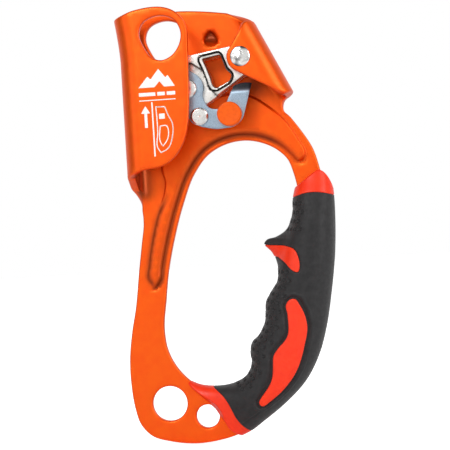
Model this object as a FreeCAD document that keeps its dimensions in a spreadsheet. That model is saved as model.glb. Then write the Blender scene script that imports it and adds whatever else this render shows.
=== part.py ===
"""Handled rope ascender, built as the real one comes apart on a bench.

Frame of the model: +Z runs up the rope, X = 0 and Z = 0 are the centre of the large
lower hole, +X points from the rope to the handle, and the side with the cam faces -Y.
Y = 0 is the middle of the back plate. All lengths are millimetres.
"""
import FreeCAD, Part
import math
import os

V = FreeCAD.Vector
doc = FreeCAD.newDocument("ascender")

# ---------------------------------------------------------------- driving sizes
SIZES = {
    "plate_thick": 4.0,        # sheet that the whole frame is bent from
    "channel_gap": 15.0,       # clear depth of the rope channel, front to back
    "fold_radius": 8.5,        # outside radius of both folds
    "wall_across": -10.6,      # outside of the channel wall over most of its height
    "ear_foot_across": 61.6,   # lower outer corner of the right-hand fold
    "ear_foot_up": 130.1,
    "ear_lean": 25.8,          # lean of that fold from the rope, in degrees
    "ear_fold_length": 41.0,
    "emboss_height": 1.5,      # raised field on the front of the plate
    "large_hole_radius": 7.5,
    "small_hole_radius": 5.0,
    "small_hole_across": 16.1,
    "small_hole_up": -6.2,
    "axle_radius": 3.0,
    "axle_head_radius": 4.2,
    "axle_head_thick": 1.5,
    "axle_across": 41.1,
    "axle_up": 145.2,
    "cam_width": 11.4,
    "cam_back": -4.3,          # rear face of the cam
    "cam_hub_radius": 6.6,
    "shelf_depth": 3.3,        # step in the cam that the lever lies in
    "bush_wall": 0.85,
    "bush_length": 13.3,
    "thrust_washer_radius": 4.2,
    "thrust_washer_thick": 0.7,
    "end_float": 0.12,         # gap between a thrust washer and the frame
    "tail_washer_radius": 5.6,
    "tail_washer_thick": 0.8,
    "spring_well_radius": 5.7,
    "running_gap": 0.05,       # radial play of every turning fit
    "spring_wire": 0.8,
    "spring_hole_radius": 0.9,
    "cam_coil_radius": 4.95,   # centre of the wire
    "lever_coil_radius": 3.5,
    "pivot_across": 17.5,
    "pivot_up": 133.7,
    "pivot_radius": 2.2,
    "pivot_head_radius": 4.0,
    "pivot_tail_radius": 3.4,
    "pivot_tail_thick": 1.2,
    "pivot_length": 11.2,
    "lever_nest_radius": 4.4,
    "lever_washer_radius": 5.2,
    "lever_washer_thick": 0.7,
    "lever_thick": 2.0,
    "lever_back": -13.2,       # rear face of the lever
    "knob_across": 34.9,
    "knob_up": 121.7,
    "knob_radius": 5.1,
    "knob_height": 5.8,
    "knob_edge_radius": 0.8,
    "knob_stem_radius": 1.8,
    "knob_stem_reach": 3.6,    # how far the stem enters the knob
    "stud_across": 21.9,
    "stud_up": 121.7,
    "stud_radius": 3.75,
    "stud_stem_radius": 2.0,
    "head_thick": 1.4,         # heads that stand on the front of the lever
    "tail_thick": 0.6,         # flat tails behind the lever
    "tail_radius": 3.0,
    "grip_pin_radius": 2.0,
    "grip_pin_length": 18.0,
    "rubber_thick": 2.0,
    "inlay_thick": 1.2,
    "hook_half_width": 7.0,
}
sheet = doc.addObject("Spreadsheet::Sheet", "Sizes")
for row, (alias, value) in enumerate(SIZES.items(), start=1):
    sheet.set(f"A{row}", alias)
    sheet.set(f"B{row}", str(value))
    sheet.setAlias(f"B{row}", alias)
doc.recompute()


def size(alias):
    """Value of one cell of the sheet."""
    return float(sheet.get(alias))


THICK = size("plate_thick")
BACK = THICK / 2                                # rear face of the back plate
FRONT = -THICK / 2                              # its front face
FLAP_BACK = FRONT - size("channel_gap")         # inner face of the flap and the ear
FLAP_FRONT = FLAP_BACK - THICK
FOLD_MIDDLE = (BACK + FLAP_FRONT) / 2
AXLE = (size("axle_across"), size("axle_up"))
PIVOT = (size("pivot_across"), size("pivot_up"))
KNOB = (size("knob_across"), size("knob_up"))
STUD = (size("stud_across"), size("stud_up"))
GRIP_PINS = [(64.5, 76.0), (59.6, 45.0), (45.0, 8.0)]
SPRING_HOLE = (AXLE[0], AXLE[1] + size("cam_coil_radius"))
NOSE = [(0.4, 143.2), (-3.4, 134.0), (2.2, 124.0)]      # rope face of the cam
FRONTWARD = FreeCAD.Rotation(V(1, 0, 0), 90)    # turns +Z to -Y


# ---------------------------------------------------------------- drawing helpers
def add_outline(sketch, start, *steps):
    """Closed outline: a point is a line, a pair of points an arc, a list a curve."""
    here = start
    for step in steps:
        if isinstance(step, list):
            curve = Part.BSplineCurve()
            curve.interpolate([V(*here, 0)] + [V(*p, 0) for p in step])
            sketch.addGeometry(curve, False)
            here = step[-1]
        elif isinstance(step[0], tuple):
            middle, end = step
            sketch.addGeometry(Part.Arc(V(*here, 0), V(*middle, 0), V(*end, 0)), False)
            here = end
        else:
            sketch.addGeometry(Part.LineSegment(V(*here, 0), V(*step, 0)), False)
            here = step
    if math.dist(here, start) > 1e-6:
        sketch.addGeometry(Part.LineSegment(V(*here, 0), V(*start, 0)), False)


def add_smooth_loop(sketch, points):
    """Closed curve without corners through a few points."""
    curve = Part.BSplineCurve()
    curve.interpolate(Points=[V(*p, 0) for p in points], PeriodicFlag=True)
    sketch.addGeometry(curve, False)


def add_circle(sketch, centre, radius):
    sketch.addGeometry(Part.Circle(V(*centre, 0), V(0, 0, 1), radius), False)


def origin_plane(body, role):
    return next(item for item in body.Origin.OriginFeatures if item.Role == role)


def new_sketch(body, name, role="XZ_Plane", offset=0.0):
    """Sketch on an origin plane. On XZ the sketch lies at Y = offset and faces -Y."""
    sketch = body.newObject("Sketcher::SketchObject", name)
    sketch.AttachmentSupport = [(origin_plane(body, role), "")]
    sketch.MapMode = "FlatFace"
    along = -offset if role == "XZ_Plane" else offset
    sketch.AttachmentOffset = FreeCAD.Placement(V(0, 0, along), FreeCAD.Rotation())
    return sketch


def add_pad(body, sketch, name, length):
    """Pad towards the front; length is a sheet expression or a number."""
    pad = body.newObject("PartDesign::Pad", name)
    pad.Profile = sketch
    if isinstance(length, str):
        pad.setExpression("Length", length)
    else:
        pad.Length = length
    sketch.Visibility = False
    return pad


def add_pocket(body, sketch, name, length):
    """Pocket towards the front, with the loss of material checked."""
    doc.recompute()
    before = body.Shape.Volume
    pocket = body.newObject("PartDesign::Pocket", name)
    pocket.Profile = sketch
    pocket.Reversed = True
    if isinstance(length, str):
        pocket.setExpression("Length", length)
    else:
        pocket.Length = length
    doc.recompute()
    if body.Shape.Volume >= before - 1e-3:
        raise RuntimeError(f"{name} cuts nothing")
    return pocket


def new_body(name):
    body = doc.addObject("PartDesign::Body", name)
    body.Label = name
    return body


def cylinder(name, spot, radius, length, back):
    """Round bar along Y, from depth back towards the front, at a named spot."""
    bar = doc.addObject("Part::Cylinder", name)
    bar.Placement = FreeCAD.Placement(V(0, 0, 0), FRONTWARD)
    bar.setExpression("Radius", radius)
    bar.setExpression("Height", length)
    bar.setExpression("Placement.Base.x", f"Sizes.{spot}_across")
    bar.setExpression("Placement.Base.y", back)
    bar.setExpression("Placement.Base.z", f"Sizes.{spot}_up")
    return bar


def joined(name, pieces):
    fuse = doc.addObject("Part::MultiFuse", name)
    fuse.Shapes = pieces
    fuse.Label = name
    return fuse


def less(name, base, tool):
    cut = doc.addObject("Part::Cut", name)
    cut.Base = base
    cut.Tool = tool
    cut.Label = name
    return cut


def shared(name, one, other):
    common = doc.addObject("Part::MultiCommon", name)
    common.Shapes = [one, other]
    common.Label = name
    return common


def washer(name, spot, outer, inner, thick, back):
    """Flat ring on a shaft."""
    disc = cylinder(name + "_disc", spot, outer, thick, back)
    bore = cylinder(name + "_bore", spot, inner, thick, back)
    return less(name, disc, bore)


def slab(name, outline, back, depth):
    """Prism of an XZ outline from depth back towards the front."""
    sketch = doc.addObject("Sketcher::SketchObject", name + "_outline")
    sketch.Placement = FreeCAD.Placement(V(0, back, 0), FRONTWARD)
    add_outline(sketch, *outline)
    prism = doc.addObject("Part::Extrusion", name)
    prism.Base = sketch
    prism.DirMode = "Normal"
    prism.LengthFwd = depth
    prism.Solid = True
    return prism


# ---------------------------------------------------------------- frame
# One sheet: back plate with the handle loop, a fold on the left that makes the rope
# channel and its front flap, and a leaning fold on the right that makes the ear.
LOOP = [(8.1, 10.5), (3.0, 17.0), (0.3, 23.5), (-0.6, 30.7), (1.0, 45.0), (3.0, 58.0),
        (6.2, 71.0), (10.8, 85.3), (16.6, 98.3), (23.1, 106.1), (30.9, 110.0),
        (40.0, 111.0), (47.8, 109.0), (53.0, 106.0), (56.9, 102.0), (59.2, 95.7),
        (60.6, 88.0), (60.5, 76.0), (57.5, 60.0), (54.6, 50.0), (51.0, 38.0),
        (46.5, 26.0), (41.5, 15.5), (35.0, 8.5), (27.0, 4.0), (17.0, 4.5)]
LEFT_AND_FOOT = [(-6.8, 78.0), (-8.1, 69.7), (-10.0, 58.0), (-12.6, 41.0), (-14.6, 32.0),
                 (-16.4, 19.0), (-16.4, 8.6), (-15.2, -1.8), (-13.3, -8.3), (-8.8, -13.5),
                 (-0.3, -16.4), (11.4, -17.7), (20.5, -16.8), (29.6, -14.3), (38.0, -8.6),
                 (46.0, -1.5), (54.5, 7.5), (61.0, 19.5), (65.5, 34.0), (69.0, 50.0),
                 (71.0, 65.0), (72.0, 80.0), (71.8, 90.0), (70.5, 97.0), (68.0, 106.0),
                 (63.4, 114.0), (58.9, 120.4)]
EGG_HOLE = [(8.0, 164.7), (14.0, 162.6), (16.6, 157.0), (15.4, 151.6), (11.8, 147.4),
            (7.8, 146.0), (3.6, 147.6), (0.9, 152.0), (-0.3, 157.0), (2.3, 162.6)]
EMBOSS = [(-3.4, 50.4), (-6.0, 53.5), (-4.8, 61.0), (-2.9, 70.9), (0.5, 83.0), (3.6, 90.5),
          (4.1, 95.0), (3.0, 101.0), (5.0, 108.0), (12.0, 118.0), (22.0, 127.0),
          (33.0, 131.0), (43.0, 129.5), (50.0, 124.8), (56.5, 118.7), (61.5, 111.0),
          (64.4, 103.0), (62.2, 101.3), (59.5, 104.0), (55.0, 108.6), (48.7, 112.2),
          (40.1, 114.2), (29.9, 113.1), (21.1, 108.6), (13.9, 99.9), (7.8, 86.4),
          (3.0, 71.8), (-0.4, 58.5)]


def channel_section(sketch, wall):
    """C-shaped section of the rope channel with its wall at X = wall."""
    outer = size("fold_radius")
    inner = outer - THICK
    bend = wall + outer
    corner = math.sqrt(0.5)
    rear, fore = BACK - outer, FLAP_FRONT + outer
    add_outline(
        sketch, (4.0, BACK), (bend, BACK),
        ((bend - outer * corner, rear + outer * corner), (wall, rear)), (wall, fore),
        ((bend - outer * corner, fore - outer * corner), (bend, FLAP_FRONT)),
        (24.0, FLAP_FRONT), (24.0, FLAP_BACK), (bend, FLAP_BACK),
        ((bend - inner * corner, fore - inner * corner), (bend - inner, fore)),
        (bend - inner, rear),
        ((bend - inner * corner, rear + inner * corner), (bend, FRONT)), (4.0, FRONT))


def ear_section(sketch):
    """C-shaped section of the right-hand fold: the ear in front, a short leg behind."""
    outer = size("fold_radius")
    inner = outer - THICK
    corner = math.sqrt(0.5)
    rear, fore = BACK - outer, FLAP_FRONT + outer
    add_outline(
        sketch, (-outer - 7.0, BACK), (-outer, BACK),
        ((-outer * (1 - corner), rear + outer * corner), (0.0, rear)), (0.0, fore),
        ((-outer * (1 - corner), fore - outer * corner), (-outer, FLAP_FRONT)),
        (-20.5, FLAP_FRONT), (-20.5, FLAP_BACK), (-outer, FLAP_BACK),
        ((-outer + inner * corner, fore - inner * corner), (-THICK, fore)),
        (-THICK, rear),
        ((-outer + inner * corner, rear + inner * corner), (-outer, FRONT)),
        (-outer - 7.0, FRONT))


def make_frame():
    body = new_body("frame")
    sections = []
    for name, up, shift in (("foot", 82.0, -0.4), ("middle", 110.0, 0.1),
                            ("waist", 149.0, 0.2), ("mouth", 172.0, -2.8)):
        section = new_sketch(body, f"channel_{name}", "XY_Plane", up)
        channel_section(section, size("wall_across") + shift)
        sections.append(section)
    loft = body.newObject("PartDesign::AdditiveLoft", "channel")
    loft.Profile = sections[0]
    loft.Sections = sections[1:]
    loft.Ruled = True

    # The flap's own outline, cut through the front half of the fold only.
    flap = new_sketch(body, "flap_outline", offset=FOLD_MIDDLE)
    add_outline(flap, (-18.0, 78.0), (28.0, 78.0), (28.0, 176.0), (-18.0, 176.0))
    add_outline(
        flap, (-16.0, 163.4), (-11.6, 164.7),
        [(-7.5, 165.7), (0.0, 167.8), (5.0, 168.6), (10.0, 168.2), (14.8, 166.0),
         (18.0, 162.4), (19.5, 158.0)],
        (18.9, 137.0),
        [(18.2, 125.0), (16.5, 115.0), (14.5, 110.0), (11.5, 105.7), (8.0, 102.8),
         (4.5, 101.4)],
        [(0.0, 100.8), (-4.0, 100.2), (-7.5, 98.9), (-12.5, 96.4)], (-16.0, 95.0))
    add_pocket(body, flap, "flap_trim", 14.0)
    # Upper end of the rear half, and the slanting lower end of the fold.
    brow = new_sketch(body, "channel_brow", offset=BACK + 1)
    add_outline(brow, (-16.0, 164.0), (-2.1, 167.4), (6.0, 168.0), (6.0, 176.0),
                (-16.0, 176.0))
    add_pocket(body, brow, "brow_trim", 14.0)
    slant = new_sketch(body, "channel_slant", "YZ_Plane", -20.0)
    add_outline(slant, (FLAP_FRONT - 1, 98.0), (-13.0, 97.0), (-6.0, 92.5),
                (BACK + 1, 84.0), (BACK + 1, 78.0), (FLAP_FRONT - 1, 78.0))
    add_pocket(body, slant, "slant_trim", 60.0)
    heel = new_sketch(body, "channel_heel", offset=BACK + 1)
    add_outline(heel, (-20.0, 97.8), (-12.6, 97.2), [(-9.6, 91.5), (-7.6, 87.0), (-6.8, 82.0)],
                (-6.8, 70.0), (-20.0, 70.0))
    add_pocket(body, heel, "heel_trim", 30.0)

    lean = math.radians(size("ear_lean"))
    ear = new_sketch(body, "ear_profile", "XY_Plane")
    ear.AttachmentOffset = FreeCAD.Placement(
        V(size("ear_foot_across"), 0, size("ear_foot_up")),
        FreeCAD.Rotation(V(0, 1, 0), -size("ear_lean")))
    ear_section(ear)
    add_pad(body, ear, "ear_fold", "Sizes.ear_fold_length")
    doc.recompute()
    # Ear outline round the axle, and the top of the fold.
    reach = 5.6
    trim = new_sketch(body, "ear_outline", offset=FOLD_MIDDLE)
    add_outline(trim, (22.0, 105.0), (80.0, 105.0), (80.0, 178.0), (22.0, 178.0))
    add_outline(
        trim, (78.0, 162.0), (46.6, 162.6), (43.6, 160.2),
        (AXLE[0] - reach * 0.85, AXLE[1] + reach * 0.62),
        ((AXLE[0] - reach, AXLE[1] - 0.4), (AXLE[0] - reach * 0.6, AXLE[1] - reach * 0.9)),
        [(44.7, 136.0), (52.0, 132.2), (58.5, 129.0)], (61.0, 127.0), (78.0, 120.0))
    add_pocket(body, trim, "ear_trim", 14.0)
    crown = new_sketch(body, "ear_crown", offset=BACK + 1)
    add_outline(crown, (25.0, 167.5), [(35.0, 166.0), (41.0, 164.4), (45.0, 162.5)],
                (47.0, 160.4), (62.0, 150.0), (62.0, 180.0), (25.0, 180.0))
    add_pocket(body, crown, "crown_trim", 30.0)

    plate = new_sketch(body, "plate_outline", offset=BACK)
    bend_in = size("fold_radius")
    foot = (size("ear_foot_across") - bend_in * math.cos(lean),
            size("ear_foot_up") - bend_in * math.sin(lean))
    rise = 44.0
    head = (foot[0] - rise * math.sin(lean), foot[1] + rise * math.cos(lean))
    add_outline(
        plate, (-2.0, 167.4), [(13.0, 168.4), (25.0, 167.5), head], foot, (56.6, 126.9),
        ((56.5, 123.2), (58.9, 120.4)), LEFT_AND_FOOT[-2::-1], (-6.8, 82.7),
        (-6.8, 84.6), (-2.0, 90.0))
    add_smooth_loop(plate, LOOP)
    add_circle(plate, (0, 0), size("large_hole_radius"))
    add_circle(plate, (size("small_hole_across"), size("small_hole_up")),
               size("small_hole_radius"))
    for spot in GRIP_PINS:
        add_circle(plate, spot, size("grip_pin_radius"))
    add_pad(body, plate, "plate", "Sizes.plate_thick")
    emboss = new_sketch(body, "emboss_outline", offset=FRONT)
    add_smooth_loop(emboss, EMBOSS)
    add_pad(body, emboss, "emboss", "Sizes.emboss_height")

    egg = new_sketch(body, "egg_hole", offset=BACK + 1)
    add_smooth_loop(egg, EGG_HOLE)
    add_pocket(body, egg, "egg_holes", 30.0)
    axle = new_sketch(body, "axle_hole", offset=BACK + 1)
    add_circle(axle, AXLE, size("axle_radius"))
    add_pocket(body, axle, "axle_holes", 30.0)
    leg = new_sketch(body, "spring_leg_hole", offset=BACK + 1)
    add_circle(leg, SPRING_HOLE, size("spring_hole_radius"))
    add_pocket(body, leg, "spring_leg_holes", THICK + 2)
    dimple = new_sketch(body, "dimple", offset=FRONT + 1.6)
    add_smooth_loop(dimple, [(27.0, 159.0), (29.5, 156.6), (29.9, 153.6), (27.2, 152.4),
                             (24.4, 153.8), (24.7, 156.8)])
    add_pocket(body, dimple, "dimple_recess", 5.0)
    return body


# ---------------------------------------------------------------- cam and its axle
def coil(name, centre, radius, turns, start, legs=()):
    """Round wire wound round a Y axis from depth start towards the front. legs are the
    lengths of its straight ends along Y: one backward from the first turn and one
    forward from the last."""
    wire = size("spring_wire") / 2
    pitch = 2 * wire * 1.15
    height = pitch * turns
    helix = Part.makeHelix(pitch, height, radius)
    profile = Part.Wire(Part.Circle(V(radius, 0, 0), V(0, 1, 0), wire).toShape())
    body = Part.Wire(helix).makePipeShell([profile], True, True)
    if legs:
        bite = 0.9 * wire           # the ends start inside the wire, a little thinner
        thin = 0.98 * wire
        first = Part.makeCylinder(thin, legs[0], V(radius, bite, 0), V(0, 0, -1))
        last = Part.makeCylinder(thin, legs[1], V(radius, -bite, height), V(0, 0, 1))
        body = body.fuse([first, last])
    spring = doc.addObject("Part::Feature", name)
    spring.Label = name
    spring.Shape = body
    turn = FreeCAD.Rotation(V(0, 1, 0), -90).multiply(FRONTWARD)
    spring.Placement = FreeCAD.Placement(V(centre[0], start, centre[1]), turn)
    return spring


def make_cam():
    """Cast cam: a nose towards the rope, an arm with a window, a hub on the axle."""
    body = new_body("cam_casting")
    hub = size("cam_hub_radius")
    outline = new_sketch(body, "cam_outline", offset=size("cam_back"))
    low = math.radians(-59)
    top = math.radians(100)
    add_outline(
        outline, (36.7, 150.3), (3.0, 145.1), ((1.4, 144.5), NOSE[0]),
        (NOSE[1], NOSE[2]), [(6.5, 121.6), (15.0, 123.4), (25.1, 126.9)],
        (30.2, 130.1), (41.4, 137.8),
        (AXLE[0] + hub * math.cos(low), AXLE[1] + hub * math.sin(low)),
        ((AXLE[0] + hub, AXLE[1]),
         (AXLE[0] + hub * math.cos(top), AXLE[1] + hub * math.sin(top))))
    add_pad(body, outline, "casting", "Sizes.cam_width")
    front = size("cam_back") - size("cam_width")
    window = new_sketch(body, "window", offset=size("cam_back") + 1)
    add_outline(window, (24.5, 145.7), (32.1, 147.0), [(33.2, 143.9), (34.4, 140.6),
                (36.5, 137.9)], (35.4, 135.8), (30.0, 133.1), (28.8, 133.7),
                [(27.5, 137.5), (26.2, 141.4), (24.5, 145.7)])
    add_pocket(body, window, "window_opening", 20.0)
    shelf = new_sketch(body, "shelf", offset=front + size("shelf_depth"))
    add_outline(shelf, (19.8, 144.3), [(24.6, 140.2), (26.4, 134.6), (28.7, 131.1)],
                (31.5, 128.5), (31.5, 117.0), (9.0, 117.0), ((8.0, 133.0), (12.0, 144.6)))
    add_pocket(body, shelf, "lever_shelf", 8.0)
    bore = new_sketch(body, "hub_bore", offset=size("cam_back") + 1)
    bush_outer = size("axle_radius") + size("running_gap") + size("bush_wall")
    add_circle(bore, AXLE, bush_outer)
    add_pocket(body, bore, "hub_opening", 20.0)
    well = new_sketch(body, "spring_well", offset=size("cam_back") + 1)
    add_circle(well, AXLE, size("spring_well_radius"))
    add_pocket(body, well, "spring_recess", 5.0)
    anchor = new_sketch(body, "spring_anchor", offset=size("cam_back") + 1)
    add_circle(anchor, SPRING_HOLE, size("spring_hole_radius"))
    add_pocket(body, anchor, "anchor_hole", 8.0)
    rivet = new_sketch(body, "pivot_hole", offset=size("cam_back") + 1)
    add_circle(rivet, PIVOT, size("pivot_radius"))
    add_pocket(body, rivet, "pivot_opening", 20.0)
    sink = new_sketch(body, "pivot_sink", offset=size("cam_back") + 1)
    add_circle(sink, PIVOT, size("pivot_tail_radius"))
    add_pocket(body, sink, "pivot_counterbore", 2.2)
    nest = new_sketch(body, "lever_spring_nest", offset=front + size("shelf_depth") + 3.2)
    add_circle(nest, PIVOT, size("lever_nest_radius"))
    add_pocket(body, nest, "spring_nest", 4.0)
    return body


def cam_teeth():
    """Short cones in rows on the nose, leaning down the rope, with a clear centre slot."""
    face = Part.Arc(*[V(x, 0, z) for x, z in NOSE]).toShape().Curve
    teeth = []
    for row in range(7):
        angle = math.radians(148 + row * 12)
        for depth in (-6.1, -7.7, -10.3, -11.9):
            outward = V(math.cos(angle), 0, math.sin(angle))
            root = face.Center + outward * (face.Radius - 0.6)
            tooth = doc.addObject("Part::Cone", f"tooth_{row}_{len(teeth) % 4}")
            tooth.Radius1 = 0.75
            tooth.Radius2 = 0.12
            tooth.Height = 2.0
            aim = outward - V(0, 0, 0.35)
            tooth.Placement = FreeCAD.Placement(
                V(root.x, depth, root.z), FreeCAD.Rotation(V(0, 0, 1), aim))
            teeth.append(tooth)
    return teeth


def make_axle_group():
    """Axle rivet through plate, cam and ear, its tail washer, the bush and two washers."""
    tail_thick = 0.9
    tail_back = BACK + size("tail_washer_thick") + tail_thick
    tail = cylinder("axle_tail", "axle", "Sizes.axle_head_radius", f"{tail_thick}",
                    f"{tail_back}")
    shank = cylinder("axle_shank", "axle", "Sizes.axle_radius",
                     f"{tail_back - FLAP_FRONT + 0.4}", f"{tail_back}")
    head = cylinder("axle_head", "axle", "Sizes.axle_head_radius",
                    "Sizes.axle_head_thick", f"{FLAP_FRONT}")
    joined("axle_rivet", [tail, shank, head])
    washer("axle_tail_washer", "axle", "Sizes.tail_washer_radius", "Sizes.axle_radius",
           "Sizes.tail_washer_thick", f"{BACK} + Sizes.tail_washer_thick")
    inner = "Sizes.axle_radius + Sizes.running_gap"
    outer = "Sizes.axle_radius + Sizes.running_gap + Sizes.bush_wall"
    washer("cam_bush", "axle", outer, inner, "Sizes.bush_length",
           f"{FLAP_BACK} + Sizes.bush_length + 0.85")
    thrust = ("Sizes.thrust_washer_radius", inner, "Sizes.thrust_washer_thick")
    washer("cam_washer_rear", "axle", *thrust, f"{FRONT} - Sizes.end_float")
    washer("cam_washer_front", "axle", *thrust,
           f"{FLAP_BACK} + Sizes.thrust_washer_thick + Sizes.end_float")


# ---------------------------------------------------------------- release lever
def make_lever():
    body = new_body("lever_plate")
    outline = new_sketch(body, "lever_outline", offset=size("lever_back"))
    add_outline(
        outline, (19.2, 141.0), [(22.7, 138.3), (24.2, 134.8), (23.7, 129.8),
                                 (24.6, 127.2), (26.6, 124.9), (29.1, 124.3)],
        (31.5, 124.6), (33.9, 127.4), (37.0, 133.9), ((41.0, 134.9), (44.6, 134.6)),
        (43.6, 130.9), (40.6, 121.0), ((38.6, 118.2), (34.4, 116.3)),
        [(29.0, 116.0), (22.7, 117.2)], [(18.2, 119.6), (16.6, 124.0), (12.8, 127.8)],
        ((10.2, 133.6), (13.4, 139.6)), ((16.4, 141.0), (19.2, 141.0)))
    play = size("running_gap")
    add_circle(outline, PIVOT, size("pivot_radius") + play)
    add_circle(outline, KNOB, size("knob_stem_radius"))
    add_circle(outline, STUD, size("stud_stem_radius"))
    add_pad(body, outline, "lever", "Sizes.lever_thick")
    return body


def make_lever_group():
    front = "Sizes.lever_back - Sizes.lever_thick"
    shelf = "Sizes.cam_back - Sizes.cam_width + Sizes.shelf_depth"
    head = cylinder("pivot_head", "pivot", "Sizes.pivot_head_radius",
                    "Sizes.head_thick", front + " - 0.1")
    shank = cylinder("pivot_shank", "pivot", "Sizes.pivot_radius", "Sizes.pivot_length",
                     "Sizes.cam_back")
    tail = cylinder("pivot_tail", "pivot", "Sizes.pivot_tail_radius",
                    "Sizes.pivot_tail_thick", "Sizes.cam_back")
    joined("lever_pivot_rivet", [head, shank, tail])
    washer("lever_washer", "pivot", "Sizes.lever_washer_radius",
           "Sizes.pivot_radius + Sizes.running_gap", "Sizes.lever_washer_thick", shelf)

    cap = cylinder("knob_cap", "knob", "Sizes.knob_radius", "Sizes.knob_height", front)
    soft = doc.addObject("Part::Fillet", "knob_soft")
    soft.Base = cap
    doc.recompute()
    knob_front = cap.Shape.BoundBox.YMin
    rim = [i for i, edge in enumerate(cap.Shape.Edges, start=1)
           if edge.BoundBox.YMax < knob_front + 0.5]
    soft.Edges = [(i, size("knob_edge_radius"), size("knob_edge_radius")) for i in rim]
    core = cylinder("knob_core", "knob", "Sizes.knob_stem_radius", "Sizes.knob_stem_reach",
                    front)
    less("thumb_knob", soft, core)
    behind = "Sizes.lever_back + Sizes.tail_thick"
    joined("knob_rivet", [
        cylinder("knob_stem", "knob", "Sizes.knob_stem_radius",
                 "Sizes.lever_thick + Sizes.knob_stem_reach", "Sizes.lever_back"),
        cylinder("knob_tail", "knob", "Sizes.tail_radius", "Sizes.tail_thick", behind)])
    joined("park_stud", [
        cylinder("stud_head", "stud", "Sizes.stud_radius", "Sizes.head_thick", front),
        cylinder("stud_stem", "stud", "Sizes.stud_stem_radius", "Sizes.lever_thick",
                 "Sizes.lever_back"),
        cylinder("stud_tail", "stud", "Sizes.tail_radius", "Sizes.tail_thick", behind)])


# ---------------------------------------------------------------- grip
# Stations down the handle: centre, half width across the palm, half depth, and the
# direction from the finger side to the palm side in degrees.
GRIP_STATIONS = [
    ((67.2, 93.0), 7.2, 6.6, 6), ((66.9, 86.0), 9.0, 10.0, 0), ((66.6, 78.0), 9.2, 12.0, 0),
    ((64.6, 66.0), 10.8, 13.0, -4), ((62.1, 54.7), 12.1, 13.2, -4),
    ((58.7, 42.0), 12.6, 13.2, -12), ((54.6, 29.0), 13.2, 13.2, -22),
    ((48.6, 16.5), 13.2, 12.8, -33), ((40.6, 5.0), 11.8, 11.6, -43),
    ((31.0, -1.4), 12.0, 9.6, -51), ((22.0, -3.6), 14.6, 6.0, -52)]
RUBBER_ZONE = [(80.0, 85.5), (80.0, -26.0), (36.2, -16.4), (28.3, -7.0), (26.4, -1.8),
               (23.0, 3.4), (16.0, 10.0), (16.0, 40.0), (30.0, 85.5)]


def grip_form(name, shrink):
    """Smooth body through the stations, drawn in by shrink all round."""
    rings = []
    for centre, half, depth, heading in GRIP_STATIONS:
        heading = math.radians(heading)
        palm = V(math.cos(heading), 0, math.sin(heading))
        along = V(0, 1, 0).cross(palm)
        ring = Part.Ellipse()
        ring.MajorRadius = max(half, depth) - shrink
        ring.MinorRadius = min(half, depth) - shrink
        axis = palm if half >= depth else V(0, 1, 0)
        edge = ring.toShape()
        edge.Placement = FreeCAD.Placement(
            V(centre[0], 0, centre[1]),
            FreeCAD.Rotation(axis, along.cross(axis), along, "XZY"))
        rings.append(Part.Wire(edge))
    form = doc.addObject("Part::Feature", name)
    form.Shape = Part.makeLoft(rings, True, False)
    return form


ROOM = 20.0        # further from the middle plane than any part of the grip


def make_grip(frame):
    """Two core shells and an overmoulded rubber sleeve with a hook, panels and inlays."""
    hook_half = size("hook_half_width")
    outer = grip_form("grip_outside", 0.0)
    inner = grip_form("grip_inside", size("rubber_thick"))
    zone = slab("rubber_zone", RUBBER_ZONE, ROOM, 2 * ROOM)
    covered = shared("covered_outside", outer, zone)
    sleeve = less("plain_sleeve", covered, inner)
    hook = slab("hook_blank", [(60.0, 75.0), (54.5, 71.8), (49.8, 69.4), ((45.0, 68.4),
                (46.2, 65.2)), [(48.6, 61.6), (50.2, 56.0)], (60.0, 54.0)],
                hook_half, 2 * hook_half)
    hook_free = less("hook", hook, inner)
    rubber = joined("rubber_blank", [sleeve, hook_free])
    inlays = []
    outer_panel = [(57.6, 43.0), [(60.9, 36.0), (61.8, 31.0), (60.4, 23.0), (55.8, 11.5),
                   (50.6, 4.8), (41.6, -2.3)], ((40.0, -1.6), (39.6, 0.2)),
                   [(44.6, 8.0), (46.4, 18.2)], [(49.5, 23.4), (52.6, 28.0), (54.0, 36.0)]]
    spur_panel = [(46.4, 66.2), (54.6, 65.6), [(58.0, 63.4), (59.6, 60.0), (59.9, 54.6)],
                  (58.2, 53.6), [(56.4, 56.0), (53.0, 59.0), (49.0, 62.0)]]
    panel_depth = 6.2                       # the side panels lie outside this depth
    skin = hook_half - size("inlay_thick")
    for side, back, small_back in (("front", -panel_depth, -skin), ("rear", ROOM, ROOM)):
        block = slab(f"panel_{side}_block", outer_panel, back, ROOM - panel_depth)
        inlays.append(shared(f"panel_{side}", sleeve, block))
        small = slab(f"hook_{side}_block", spur_panel, small_back, ROOM - skin)
        inlays.append(shared(f"hook_inlay_{side}", rubber, small))
    doc.recompute()
    everything = joined("inlays", inlays)
    rubber_open = less("rubber_open", rubber, everything)
    less("grip_rubber", rubber_open, frame)
    core = less("core_blank", outer, sleeve)
    seat = cylinder("small_hole_clear", "small_hole", "6.4", "60", "30")
    core_seated = less("core_seated", core, seat)
    cored = less("core_on_plate", core_seated, frame)
    pins = []
    for number, spot in enumerate(GRIP_PINS):
        pin = doc.addObject("Part::Cylinder", f"pin_{number}")
        pin.setExpression("Radius", "Sizes.grip_pin_radius")
        pin.setExpression("Height", "Sizes.grip_pin_length")
        pin.Placement = FreeCAD.Placement(
            V(spot[0], size("grip_pin_length") / 2, spot[1]), FRONTWARD)
        pins.append(pin)
    group = doc.addObject("Part::Compound", "grip_pins")
    group.Label = "grip_pins"
    group.Links = pins
    drilled = less("core_drilled", cored, group)
    for side, back in (("front", 0.0), ("rear", 30.0)):
        half = doc.addObject("Part::Box", f"{side}_space")
        half.Length, half.Width, half.Height = 120, 30, 140
        half.Placement.Base = V(-20, back - 30, -30)
        shared(f"grip_half_{side}", drilled, half)


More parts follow.
